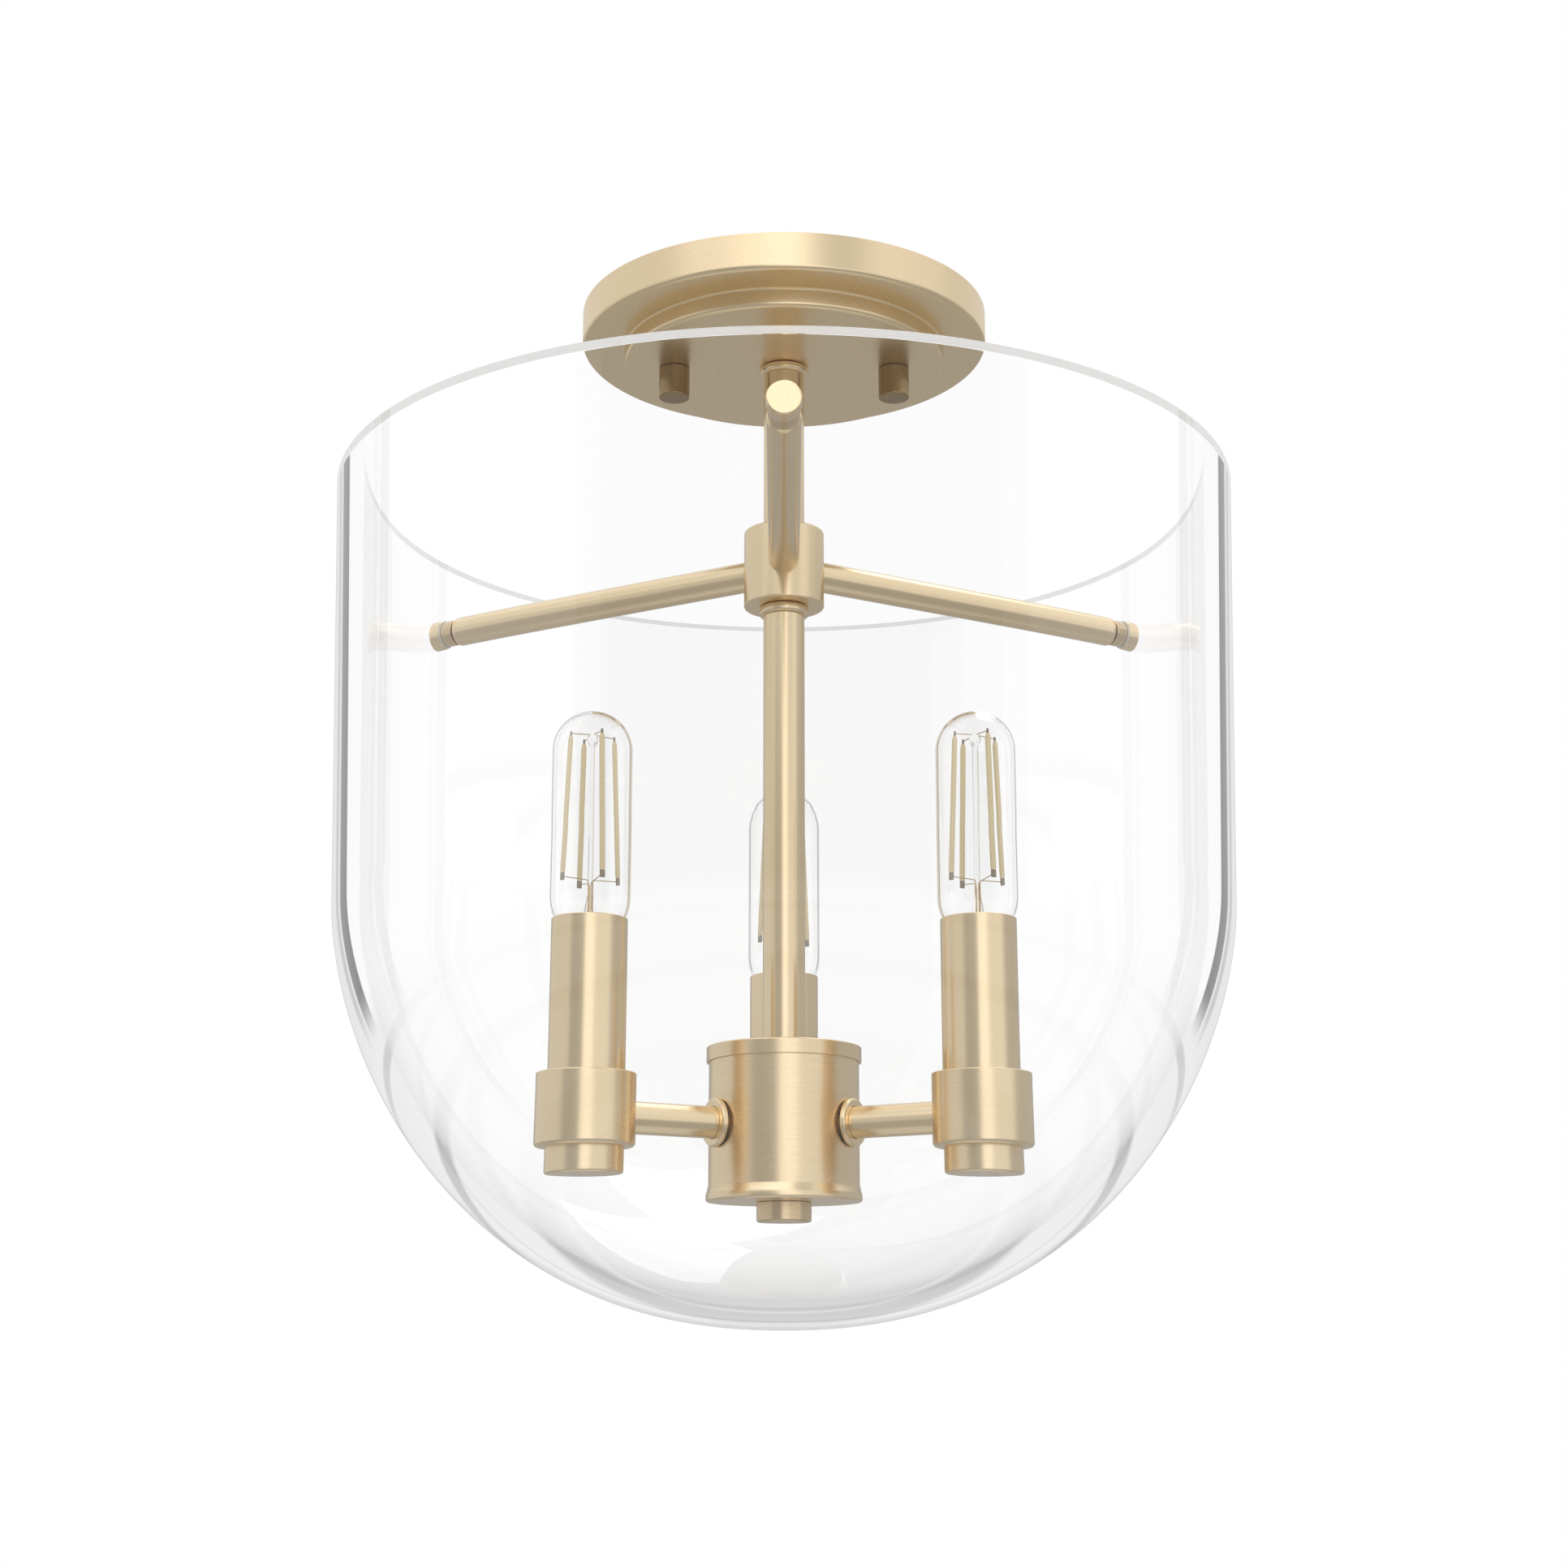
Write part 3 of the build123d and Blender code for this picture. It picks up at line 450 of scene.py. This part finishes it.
# ------------------------------------------------------------------ glass bowl
SHADE_R = 164.9           # outer radius at the rim
WALL = 9.4
RIM_Z = -74.3
RIM_ROUND = 0.3
TAPER = 0.0258            # radius lost per mm of height in the straight wall
DOME_TOP_Z = -229.0       # where the straight wall ends and the floor begins
DOME_H = 148.25
SIDE_POWER = 1.80         # powers of the floor's superellipse, in height and in radius
FLOOR_POWER = 2.25
PATCH = 8.0               # half the side of the square of mesh around each hole
PATCH_STEPS = 8
PATCH_R = 164.3           # radius at which a square is as wide as it is high
HOLE_R = 5.0
HOLE_LOOPS = (0.35, 0.62, 0.82, 0.95, 1.0)   # shares of the way from the square to the circle
BETWEEN = 78              # columns of mesh between two patches
ROWS_ABOVE = (RIM_Z - RIM_ROUND - 0.4, RIM_Z - 4, RIM_Z - 8, RIM_Z - 12, RIM_Z - 16)
ROWS_BELOW = 24           # rows of mesh from the patches to the dome
DOME_ROWS = 56
FLAT_RIM = 0.001          # faces this near the rim's height are its flat face
ROD_R = 5.6
ROD_SIDES = 72
NECK_SIDES = 64
END_CAP_R = 5.75


def wall_radius(z, inset):
    """Radius of the straight wall at this height, moved in by the inset."""
    return SHADE_R - inset - TAPER * (RIM_Z - z)


def dome_line(inset):
    """Line of the floor, from the first row below the straight wall to the axis."""
    start = wall_radius(DOME_TOP_Z, inset)
    depth = DOME_H - inset
    points = []
    for row in range(1, DOME_ROWS + 1):
        a = math.pi / 2 * row / DOME_ROWS
        radius = start * max(math.cos(a), 0.0) ** (2 / FLOOR_POWER)
        points.append((radius if row < DOME_ROWS else 0.0,
                       DOME_TOP_Z - depth * math.sin(a) ** (2 / SIDE_POWER)))
    return points


def add_hole(verts, faces, rings, inset, angle, start):
    """Fills the square round a hole with loops that go from the square to the circle. start is
    the square's first column. Returns the loop on the circle."""
    left, right = start, start + PATCH_STEPS
    low, high = len(ROWS_ABOVE), len(ROWS_ABOVE) + PATCH_STEPS
    edge = [rings[high][k] for k in range(left, right)]
    edge += [rings[j][right] for j in range(high, low, -1)]
    edge += [rings[low][k] for k in range(right, left, -1)]
    edge += [rings[j][left] for j in range(low, high)]
    turn = Matrix.Rotation(-angle, 3, "Z")
    square = [turn @ Vector(verts[v]) for v in edge]
    outside = edge
    for share in HOLE_LOOPS:
        loop = []
        for spot in square:
            flat = Vector((spot.y, spot.z - ARM_Z))
            y, dz = flat.lerp(flat.normalized() * HOLE_R, share)
            z = ARM_Z + dz
            x = math.sqrt(wall_radius(z, inset) ** 2 - y * y)
            loop.append(len(verts))
            verts.append(tuple(turn.transposed() @ Vector((x, y, z))))
        add_band(faces, outside, loop)
        outside = loop
    return outside


def glass_bowl():
    """Closed glass solid, both faces and the rim, with a round hole at the end of each rod."""
    reach = math.asin(PATCH / PATCH_R)
    gap = 2 * math.pi / len(ARMS) - 2 * reach
    half = PATCH_STEPS // 2
    columns, patch_start = [], []
    arm_angles = sorted(math.radians(a) for a in ARMS.values())
    for angle in arm_angles:
        patch_start.append(len(columns))
        columns += [angle + reach * k / half for k in range(-half, half)]
        columns += [angle + reach + gap * k / BETWEEN for k in range(BETWEEN)]
    in_patch = {start + k for start in patch_start for k in range(PATCH_STEPS)}
    top, bottom = ARM_Z + PATCH, ARM_Z - PATCH
    first = len(ROWS_ABOVE)
    rows_z = list(ROWS_ABOVE)
    rows_z += [top + (bottom - top) * k / PATCH_STEPS for k in range(PATCH_STEPS + 1)]
    rows_z += [bottom + (DOME_TOP_Z - bottom) * k / ROWS_BELOW for k in range(1, ROWS_BELOW + 1)]
    verts, faces, upper, circles = [], [], [], []
    for inset in (0.0, WALL):
        line = [(wall_radius(z, inset), z) for z in rows_z] + dome_line(inset)
        rings = [add_ring(verts, r, z, columns) for r, z in line]
        for j, (a, b) in enumerate(zip(rings, rings[1:])):
            add_band(faces, a, b, in_patch if first <= j < first + PATCH_STEPS else ())
        circles.append([add_hole(verts, faces, rings, inset, angle, start)
                        for angle, start in zip(arm_angles, patch_start)])
        upper.append(rings[0])
    for a, b in zip(*circles):
        add_band(faces, a, b)
    edge_z = rows_z[0]
    edge = eased([(wall_radius(edge_z, 0), edge_z), (SHADE_R, RIM_Z, RIM_ROUND),
                  (SHADE_R - WALL, RIM_Z, RIM_ROUND), (wall_radius(edge_z, WALL), edge_z)])
    rim = [upper[0]] + [add_ring(verts, r, z, columns) for r, z in edge[1:-1]] + [upper[1]]
    for a, b in zip(rim, rim[1:]):
        add_band(faces, a, b)
    obj = add_mesh("glass_bowl", verts, faces, SHADE_GLASS)
    obj.data.materials.append(RIM_GLASS)
    for face in obj.data.polygons:
        if all(obj.data.vertices[v].co.z > (RIM_Z - FLAT_RIM) * MM for v in face.vertices):
            face.material_index = 1
    return obj


def make_bowl():
    fit(let_light_in(glass_bowl()), "glass_shade", "fixture")
    rod = [(0, 14.0), (ROD_R, 14.0), (ROD_R, 153.8, 2.3), (2.6, 153.8), (2.6, 142.0), (0, 142.0)]
    neck = rod_corners(5.03, 153.95, 164.25, 2.9, 0.15)
    washer = rod_corners(5.55, 164.56, 165.42, 2.62, 0.2)
    cap = [(0, 146.0), (2.45, 146.0, 0.3), (2.45, 165.5), (END_CAP_R, 165.5, 0.3),
           (END_CAP_R, 171.65, 0.55), (0, 171.65)]
    for arm, angle in ARMS.items():
        for piece, corners, sides, material, slot, node, body in (
            ("glass_rod_", rod, ROD_SIDES, TUBE_BRASS, "brass", "shade_arm_" + arm, "fixture"),
            ("threaded_neck_", neck, NECK_SIDES, SHADED_NECK_BRASS, "brass", "shade_bushings", "fixture"),
            ("clear_washer_", washer, NECK_SIDES, NYLON, "nylon", "shade_washer_" + arm,
             "cap_travel_" + arm),
            ("end_cap_", cap, ROUND_SIDES, TUBE_BRASS, "brass", "shade_cap_" + arm, "cap_" + arm),
        ):
            obj = lay(lathe(piece + arm, corners, material, sides), angle, ARM_Z)
            fit(obj, node, body)


# ------------------------------------------------------------------ lamp holders
CUP_R = 16.9
CUP_TOP_Z = -293.0
CUP_BOTTOM_Z = -317.7
CUP_LEDGE_Z = -299.0
KNOB_BOTTOM_Z = -326.4
SLEEVE_TOP_Z = -239.9


def make_holders():
    arm = rod_corners(ROD_R, 26.0, 61.1, 3.8, 0.1)
    rosette = [(5.65, 26.9), (8.5, 26.9, 0.35), (8.5, 28.85, 0.85), (5.65, 28.85, 0.3)]
    cup = [(CUP_R, CUP_TOP_Z, 0.35), (CUP_R, CUP_BOTTOM_Z, 1.5), (4.1, CUP_BOTTOM_Z), (4.1, -313.7),
           (11.5, -313.7), (11.5, CUP_LEDGE_Z), (13.2, CUP_LEDGE_Z), (13.2, CUP_TOP_Z, 0.1)]
    knob = [(0, KNOB_BOTTOM_Z), (13.15, KNOB_BOTTOM_Z, 0.9), (13.15, CUP_BOTTOM_Z),
            (4.0, CUP_BOTTOM_Z), (4.0, -304.7), (0, -304.7)]
    sleeve = [(13.1, CUP_LEDGE_Z), (13.1, SLEEVE_TOP_Z, 0.22), (12.35, SLEEVE_TOP_Z, 0.22),
              (12.35, CUP_LEDGE_Z)]
    for lamp, angle in LAMPS.items():
        for piece, corners, node in (("lamp_tube_", arm, "lamp_arm_" + lamp),
                                     ("rosette_", rosette, "arm_rosettes")):
            obj = lay(lathe(piece + lamp, corners, TUBE_BRASS, ROD_SIDES), angle, LAMP_ARM_Z)
            fit(obj, node, "fixture")
        for piece, corners, material, node in (
            ("holder_cup_", cup, CUP_BRASS, "socket_cup_" + lamp),
            ("holder_knob_", knob, CUP_BRASS, "cup_base_" + lamp),
            ("candle_tube_", sleeve, TUBE_BRASS, "candle_sleeve_" + lamp),
        ):
            fit(at_lamp(lathe(piece + lamp, corners, material), angle), node, "fixture")


# ------------------------------------------------------------------ lamps
BULB_R = 13.9
BULB_TOP_Z = -166.6
BULB_FACES = ((0.0, -258.4), (0.8, -257.6))   # outer and inner: inset, height of the foot
BULB_SHARP = math.radians(50)
CROWN_STEPS = 16
STRIPS = 4
STRIP_TURN = 27.0         # degrees round the lamp's axis to the first strip
STRIP_TOP = (8.2, -176.2)
STRIP_FOOT = (10.3, -225.2)
STRIP_SIZE = (1.8, 1.5)   # width and thickness
STRIP_TAPER = 0.35
CLIPS = ((0.985, 1.035, 1.7, 1.2), (-0.035, 0.012, 0.8, 0.6))   # from, to, width, thickness
SLAB_SIDES = 12
SLAB_POWER = 0.55         # below 1 squares the section
SLAB_ENDS = 0.03          # share of the length over which an end narrows
WIRE_R = 0.17
WIRE_BEVEL = 1            # resolution of the wires' round section
WIRE_STARTS = (-0.02, 1.012)   # places on a strip's line where its two wires begin
WIRE_DROP = 0.9           # every other wire turns in this much lower
POST_R = 0.55             # where the wires run down beside the stem's axis
POST_SPREAD = 2.2         # how far they part again at the foot
THREAD_TURNS = 5
THREAD_PITCH = 2.3
STEM_SIDES, BASE_SIDES, CONTACT_SIDES = 40, 72, 48
BULB_SIDE = (             # from the end of the straight wall in to the throat
    (BULB_R, -231.5), (13.85, -233.6), (13.6, -235.6), (13.05, -237.7), (12.25, -239.6),
    (11.3, -241.4), (9.8, -244.0), (8.2, -247.0), (6.6, -250.0), (5.3, -252.6), (4.95, -254.1),
    (4.95, -258.3),
)
GLASS_STEM = (
    (0, -174.3), (1.3, -174.5), (2.0, -175.6), (2.05, -176.7), (1.5, -178.0), (1.05, -179.2),
    (1.05, -226.0), (1.0, -231.0), (1.7, -234.0), (2.3, -237.0), (1.9, -240.0), (2.6, -244.0),
    (3.6, -250.0), (3.9, -257.4), (0, -257.4),
)
CONTACT = (
    (0, -271.0), (4.25, -271.0), (3.9, -271.9, 0.3), (2.3, -273.3, 0.4), (1.9, -274.1, 0.4),
    (0, -274.1),
)


def bulb_line(inset, foot_z):
    """Side of the envelope from the crown down to the throat, moved in by the inset and closed."""
    radius = BULB_R - inset
    crown = BULB_TOP_Z - BULB_R
    points = [(0, crown + radius)]
    for step in range(1, CROWN_STEPS + 1):
        a = math.pi / 2 * (1 - step / CROWN_STEPS)
        points.append((radius * math.cos(a), crown + radius * math.sin(a)))
    points += [(r - inset, z) for r, z in BULB_SIDE]
    return points + [(0, foot_z)]


def bulb_envelope(name):
    """Shell of glass: a closed outer face, and a closed inner face that is turned in."""
    verts, faces = [], []
    angles = round_angles(ROUND_SIDES)
    for inset, foot_z in BULB_FACES:
        rings = [add_ring(verts, radius, z, angles) for radius, z in bulb_line(inset, foot_z)]
        shell = []
        for a, b in zip(rings, rings[1:]):
            add_band(shell, a, b)
        shell = [face[:1] + face[:0:-1] for face in shell]     # turned out
        faces += [tuple(reversed(face)) for face in shell] if inset else shell
    mesh = bpy.data.meshes.new(name)
    mesh.from_pydata([Vector(v) * MM for v in verts], [], faces)
    return add_object(name, mesh, BULB_GLASS, BULB_SHARP)


def strip_angle(turn):
    return math.radians(STRIP_TURN + 360 / STRIPS * turn)


def outward(radius, turn, z):
    """Point at this distance from the lamp's axis, on the side of the strip."""
    a = strip_angle(turn)
    return Vector((radius * math.cos(a), radius * math.sin(a), z))


def strip_spot(turn, share):
    """Point on the line of a strip: 0 is its top, 1 its foot."""
    radius, z = (top + (foot - top) * share for top, foot in zip(STRIP_TOP, STRIP_FOOT))
    return outward(radius, turn, z)


def slab(verts, faces, start, end, side, width, thickness, taper=0.0):
    """Long bar with rounded long edges, and ends narrowed by the taper."""
    deep = (end - start).normalized().cross(side).normalized()
    section = []
    for k in range(SLAB_SIDES):
        a = 2 * math.pi * (k + 0.5) / SLAB_SIDES
        x = math.copysign(abs(math.cos(a)) ** SLAB_POWER, math.cos(a))
        y = math.copysign(abs(math.sin(a)) ** SLAB_POWER, math.sin(a))
        section.append((x * width / 2, y * thickness / 2))
    rings = []
    for share, size in ((0.0, 1 - taper), (SLAB_ENDS, 1.0), (1 - SLAB_ENDS, 1.0), (1.0, 1 - taper)):
        centre = start.lerp(end, share)
        rings.append(list(range(len(verts), len(verts) + SLAB_SIDES)))
        verts.extend(tuple(centre + side * x * size + deep * y * size) for x, y in section)
    for a, b in zip(rings, rings[1:]):
        add_band(faces, a, b)
    faces.append(tuple(rings[0]))
    faces.append(tuple(reversed(rings[-1])))


def filaments(lamp):
    """The strips, the clips at their ends and the lead wires, as three objects."""
    strips, clips, leads = ([], []), ([], []), []
    above, below = WIRE_STARTS
    for turn in range(STRIPS):
        a = strip_angle(turn)
        side = Vector((-math.sin(a), math.cos(a), 0)).normalized()
        slab(*strips, strip_spot(turn, 0.0), strip_spot(turn, 1.0), side, *STRIP_SIZE, STRIP_TAPER)
        for begin, end, width, thickness in CLIPS:
            slab(*clips, strip_spot(turn, begin), strip_spot(turn, end), side, width, thickness)
        top = strip_spot(turn, above)
        leads.append([top, outward(1.2, turn, top.z + 0.5)])
        drop = WIRE_DROP if turn % 2 else 0.0
        foot = strip_spot(turn, below)
        z = foot.z - 0.3 - drop
        leads.append([foot, outward(1.5, turn, z), outward(0.8, turn, z - 0.5),
                      outward(POST_R, turn, z - 1.6), outward(POST_R, turn, -236.0 - drop),
                      outward(POST_R, turn, 0) * POST_SPREAD + Vector((0, 0, -246.0))])
    return (add_mesh("filament_strips_" + lamp, *strips, COATING),
            add_mesh("filament_clips_" + lamp, *clips, CLIP),
            wires("filament_wires_" + lamp, leads, WIRE_R, WIRE))


def screw_base():
    """Outline of the lamp's base, with a shallow groove for each turn of its thread."""
    base = [(0, -270.9), (4.3, -270.9, 0.3), (5.7, -269.4)]
    for turn in range(THREAD_TURNS):
        low = -268.4 + THREAD_PITCH * turn
        base += [(5.62, low - 0.6), (5.92, low + 0.2), (5.92, low + 0.7), (5.62, low + 1.5)]
    return base + [(5.9, -256.2), (5.9, -254.4, 0.2), (5.1, -254.4), (5.1, -258.6), (0, -258.6)]


def make_lamps():
    for lamp, angle in LAMPS.items():
        body = "lamp_" + lamp
        envelope = let_light_in(bulb_envelope("bulb_envelope_" + lamp))
        fit(at_lamp(envelope, angle), "bulb_glass_" + lamp, body)
        for obj in filaments(lamp):
            fit(at_lamp(obj, angle), "bulb_filaments_" + lamp, body)
        stem = let_light_in(lathe("glass_stem_" + lamp, GLASS_STEM, STEM_GLASS, STEM_SIDES))
        fit(at_lamp(stem, angle), "bulb_filaments_" + lamp, body)
        fit(at_lamp(lathe("screw_base_" + lamp, screw_base(), BASE_BRASS, BASE_SIDES), angle),
            "bulb_base_" + lamp, body)
        fit(at_lamp(lathe("centre_contact_" + lamp, CONTACT, INSULATOR, CONTACT_SIDES), angle),
            "bulb_contact_" + lamp, "lamp_travel_" + lamp)


# ------------------------------------------------------------------ nodes that stay
def finish_kept_nodes():
    """CAD nodes that stay as they are get a finish of their own."""
    finishes = {
        "mounting_bracket": ZINC, "canopy_studs": ZINC, "stud_locknuts": ZINC,
        "threaded_pipe": ZINC, "pipe_locknut": ZINC, "ground_screw": GREEN,
        "lamp_socket_right": PHENOLIC, "lamp_socket_left": PHENOLIC, "lamp_socket_back": PHENOLIC,
    }
    for node, material in finishes.items():
        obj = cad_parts[node]
        obj.data.materials.clear()
        obj.data.materials.append(material)


# ------------------------------------------------------------------ studio
# The light's and the camera's places and sizes are in metres, the lens and sensor in millimetres.
FLOOR_Z = -2300
FLOOR_RINGS = (0, 400, 900, 1500)
LIGHT_PLACE, LIGHT_AIM = (0.5, 0.6, 1.9), (0, 0, -0.2)
LIGHT_W, LIGHT_D, LIGHT_POWER = 1.2, 1.0, 8
CAMERA_PLACE, CAMERA_LINE = (0, -0.96604, -0.42523), (0, 0.9698, 0.2441)
CAMERA_LENS, CAMERA_SENSOR = 62.78, 36.0

# Levels round the studio: (where a change starts, where it ends, change). The first three lists
# go by the turn in degrees. They begin with the level straight behind, at -180. 0 is the front,
# and right is positive. The last goes by the height over the distance, and begins below -1.
BRASS_LOW = (
    (-182, -181, 0.40), (-152, -140, 0.28), (-56, -46, -0.30), (-12, -5, 0.88),
    (17, 25, -0.38), (66, 82, -0.40), (144, 152, -0.08),
)
BRASS_HIGH = (
    (-182, -181, 0.80), (-70, -50, 0.40), (-36, -22, 0.25), (8, 22, -0.85), (40, 52, 0.35),
    (96, 110, -0.15),
)
GLASS_ROUND = (
    (-182, -181, 0.60), (-168, -162, 0.20), (-125, -124.4, -0.30), (-122.4, -121.8, 0.30),
    (-121.2, -120.6, -0.65), (-116.6, -116, 0.85), (-45.5, -44.5, -0.64), (53.5, 54.5, 0.64),
    (116, 116.6, -0.85), (120.6, 121.2, 0.65), (121.8, 122.4, -0.30), (124.4, 125, 0.30),
    (162, 168, -0.20),
)
GLASS_BELOW = (
    (-1.5, -1.4, 0.84), (-0.80, -0.76, -0.30), (-0.72, -0.68, 0.32), (-0.52, -0.50, -0.36),
    (-0.47, -0.45, 0.36), (-0.30, -0.29, -0.26), (-0.27, -0.26, 0.26),
)
HIGH_FROM, HIGH_TO = 0.30, 0.36        # height over distance where BRASS_HIGH takes over
TOP_FROM, TOP_TO = 0.66, 0.84          # and where the white top begins
BELOW_FROM, BELOW_TO = -0.12, -0.24    # and the part below the horizon
BELOW_LEVEL = 0.41                     # level there for the brass


def make_world():
    """A soft studio: what the brass mirrors, what the glass mirrors, and the white backdrop
    that is seen directly or straight through the glass."""
    world = bpy.data.worlds.new("studio")
    world.use_nodes = True
    tree = world.node_tree
    x, y, z = add(tree, "ShaderNodeSeparateXYZ",
                  in0=add(tree, "ShaderNodeTexCoord").outputs["Generated"]).outputs
    turn = maths(tree, "MULTIPLY", maths(tree, "ARCTAN2", x, maths(tree, "MULTIPLY", y, -1.0)),
                 180 / math.pi)

    def levels(steps, along):
        level = 0.0
        for low, high, change in steps:
            level = maths(tree, "ADD", level, smooth_step(tree, along, low, high, 0.0, change))
        return level

    def blend(first, second, share):
        change = maths(tree, "MULTIPLY", maths(tree, "SUBTRACT", second, first), share)
        return maths(tree, "ADD", first, change)

    above = smooth_step(tree, z, BELOW_TO, BELOW_FROM)
    metal = blend(levels(BRASS_LOW, turn), levels(BRASS_HIGH, turn),
                  smooth_step(tree, z, HIGH_FROM, HIGH_TO))
    metal = blend(metal, 1.0, smooth_step(tree, z, TOP_FROM, TOP_TO))
    metal = blend(BELOW_LEVEL, metal, above)
    clear = blend(levels(GLASS_BELOW, z), levels(GLASS_ROUND, turn), above)
    path = add(tree, "ShaderNodeLightPath").outputs
    mirrored = maths(tree, "MULTIPLY", path["Is Glossy Ray"], path["Is Singular Ray"])
    level = blend(metal, clear, mirrored)
    bounced = maths(tree, "ADD", path["Glossy Depth"], path["Diffuse Depth"])
    straight = maths(tree, "LESS_THAN", bounced, 0.5)      # 1 until the first bounce
    through = maths(tree, "MULTIPLY", path["Is Transmission Ray"], straight)
    seen = maths(tree, "MAXIMUM", path["Is Camera Ray"], through)
    background = tree.nodes["Background"]
    tree.links.new(maths(tree, "MAXIMUM", level, seen), background.inputs["Strength"])
    background.inputs["Color"].default_value = (1, 1, 1, 1)
    bpy.context.scene.world = world


def make_floor():
    disc = [(radius, FLOOR_Z) for radius in FLOOR_RINGS]
    lathe("floor", disc, FLOOR)


def make_light():
    lamp = bpy.data.lights.new("top", "AREA")
    lamp.shape = "RECTANGLE"
    lamp.size, lamp.size_y, lamp.energy = LIGHT_W, LIGHT_D, LIGHT_POWER
    obj = bpy.data.objects.new("top", lamp)
    obj.location = LIGHT_PLACE
    line = Vector(LIGHT_AIM) - Vector(LIGHT_PLACE)
    obj.rotation_euler = line.to_track_quat("-Z", "Y").to_euler()
    obj.visible_camera = False
    obj.visible_transmission = False
    bpy.context.scene.collection.objects.link(obj)


def make_camera():
    data = bpy.data.cameras.new("camera")
    data.sensor_fit = "HORIZONTAL"
    data.sensor_width = CAMERA_SENSOR
    data.lens = CAMERA_LENS
    data.dof.use_dof = False
    cam = bpy.data.objects.new("camera", data)
    cam.location = CAMERA_PLACE
    cam.rotation_euler = Vector(CAMERA_LINE).to_track_quat("-Z", "Y").to_euler()
    bpy.context.scene.collection.objects.link(cam)
    bpy.context.scene.camera = cam


bpy.context.scene.view_settings.view_transform = "Standard"
make_camera()
make_world()
make_floor()
make_column()
make_bowl()
make_holders()
make_lamps()
finish_kept_nodes()
make_light()
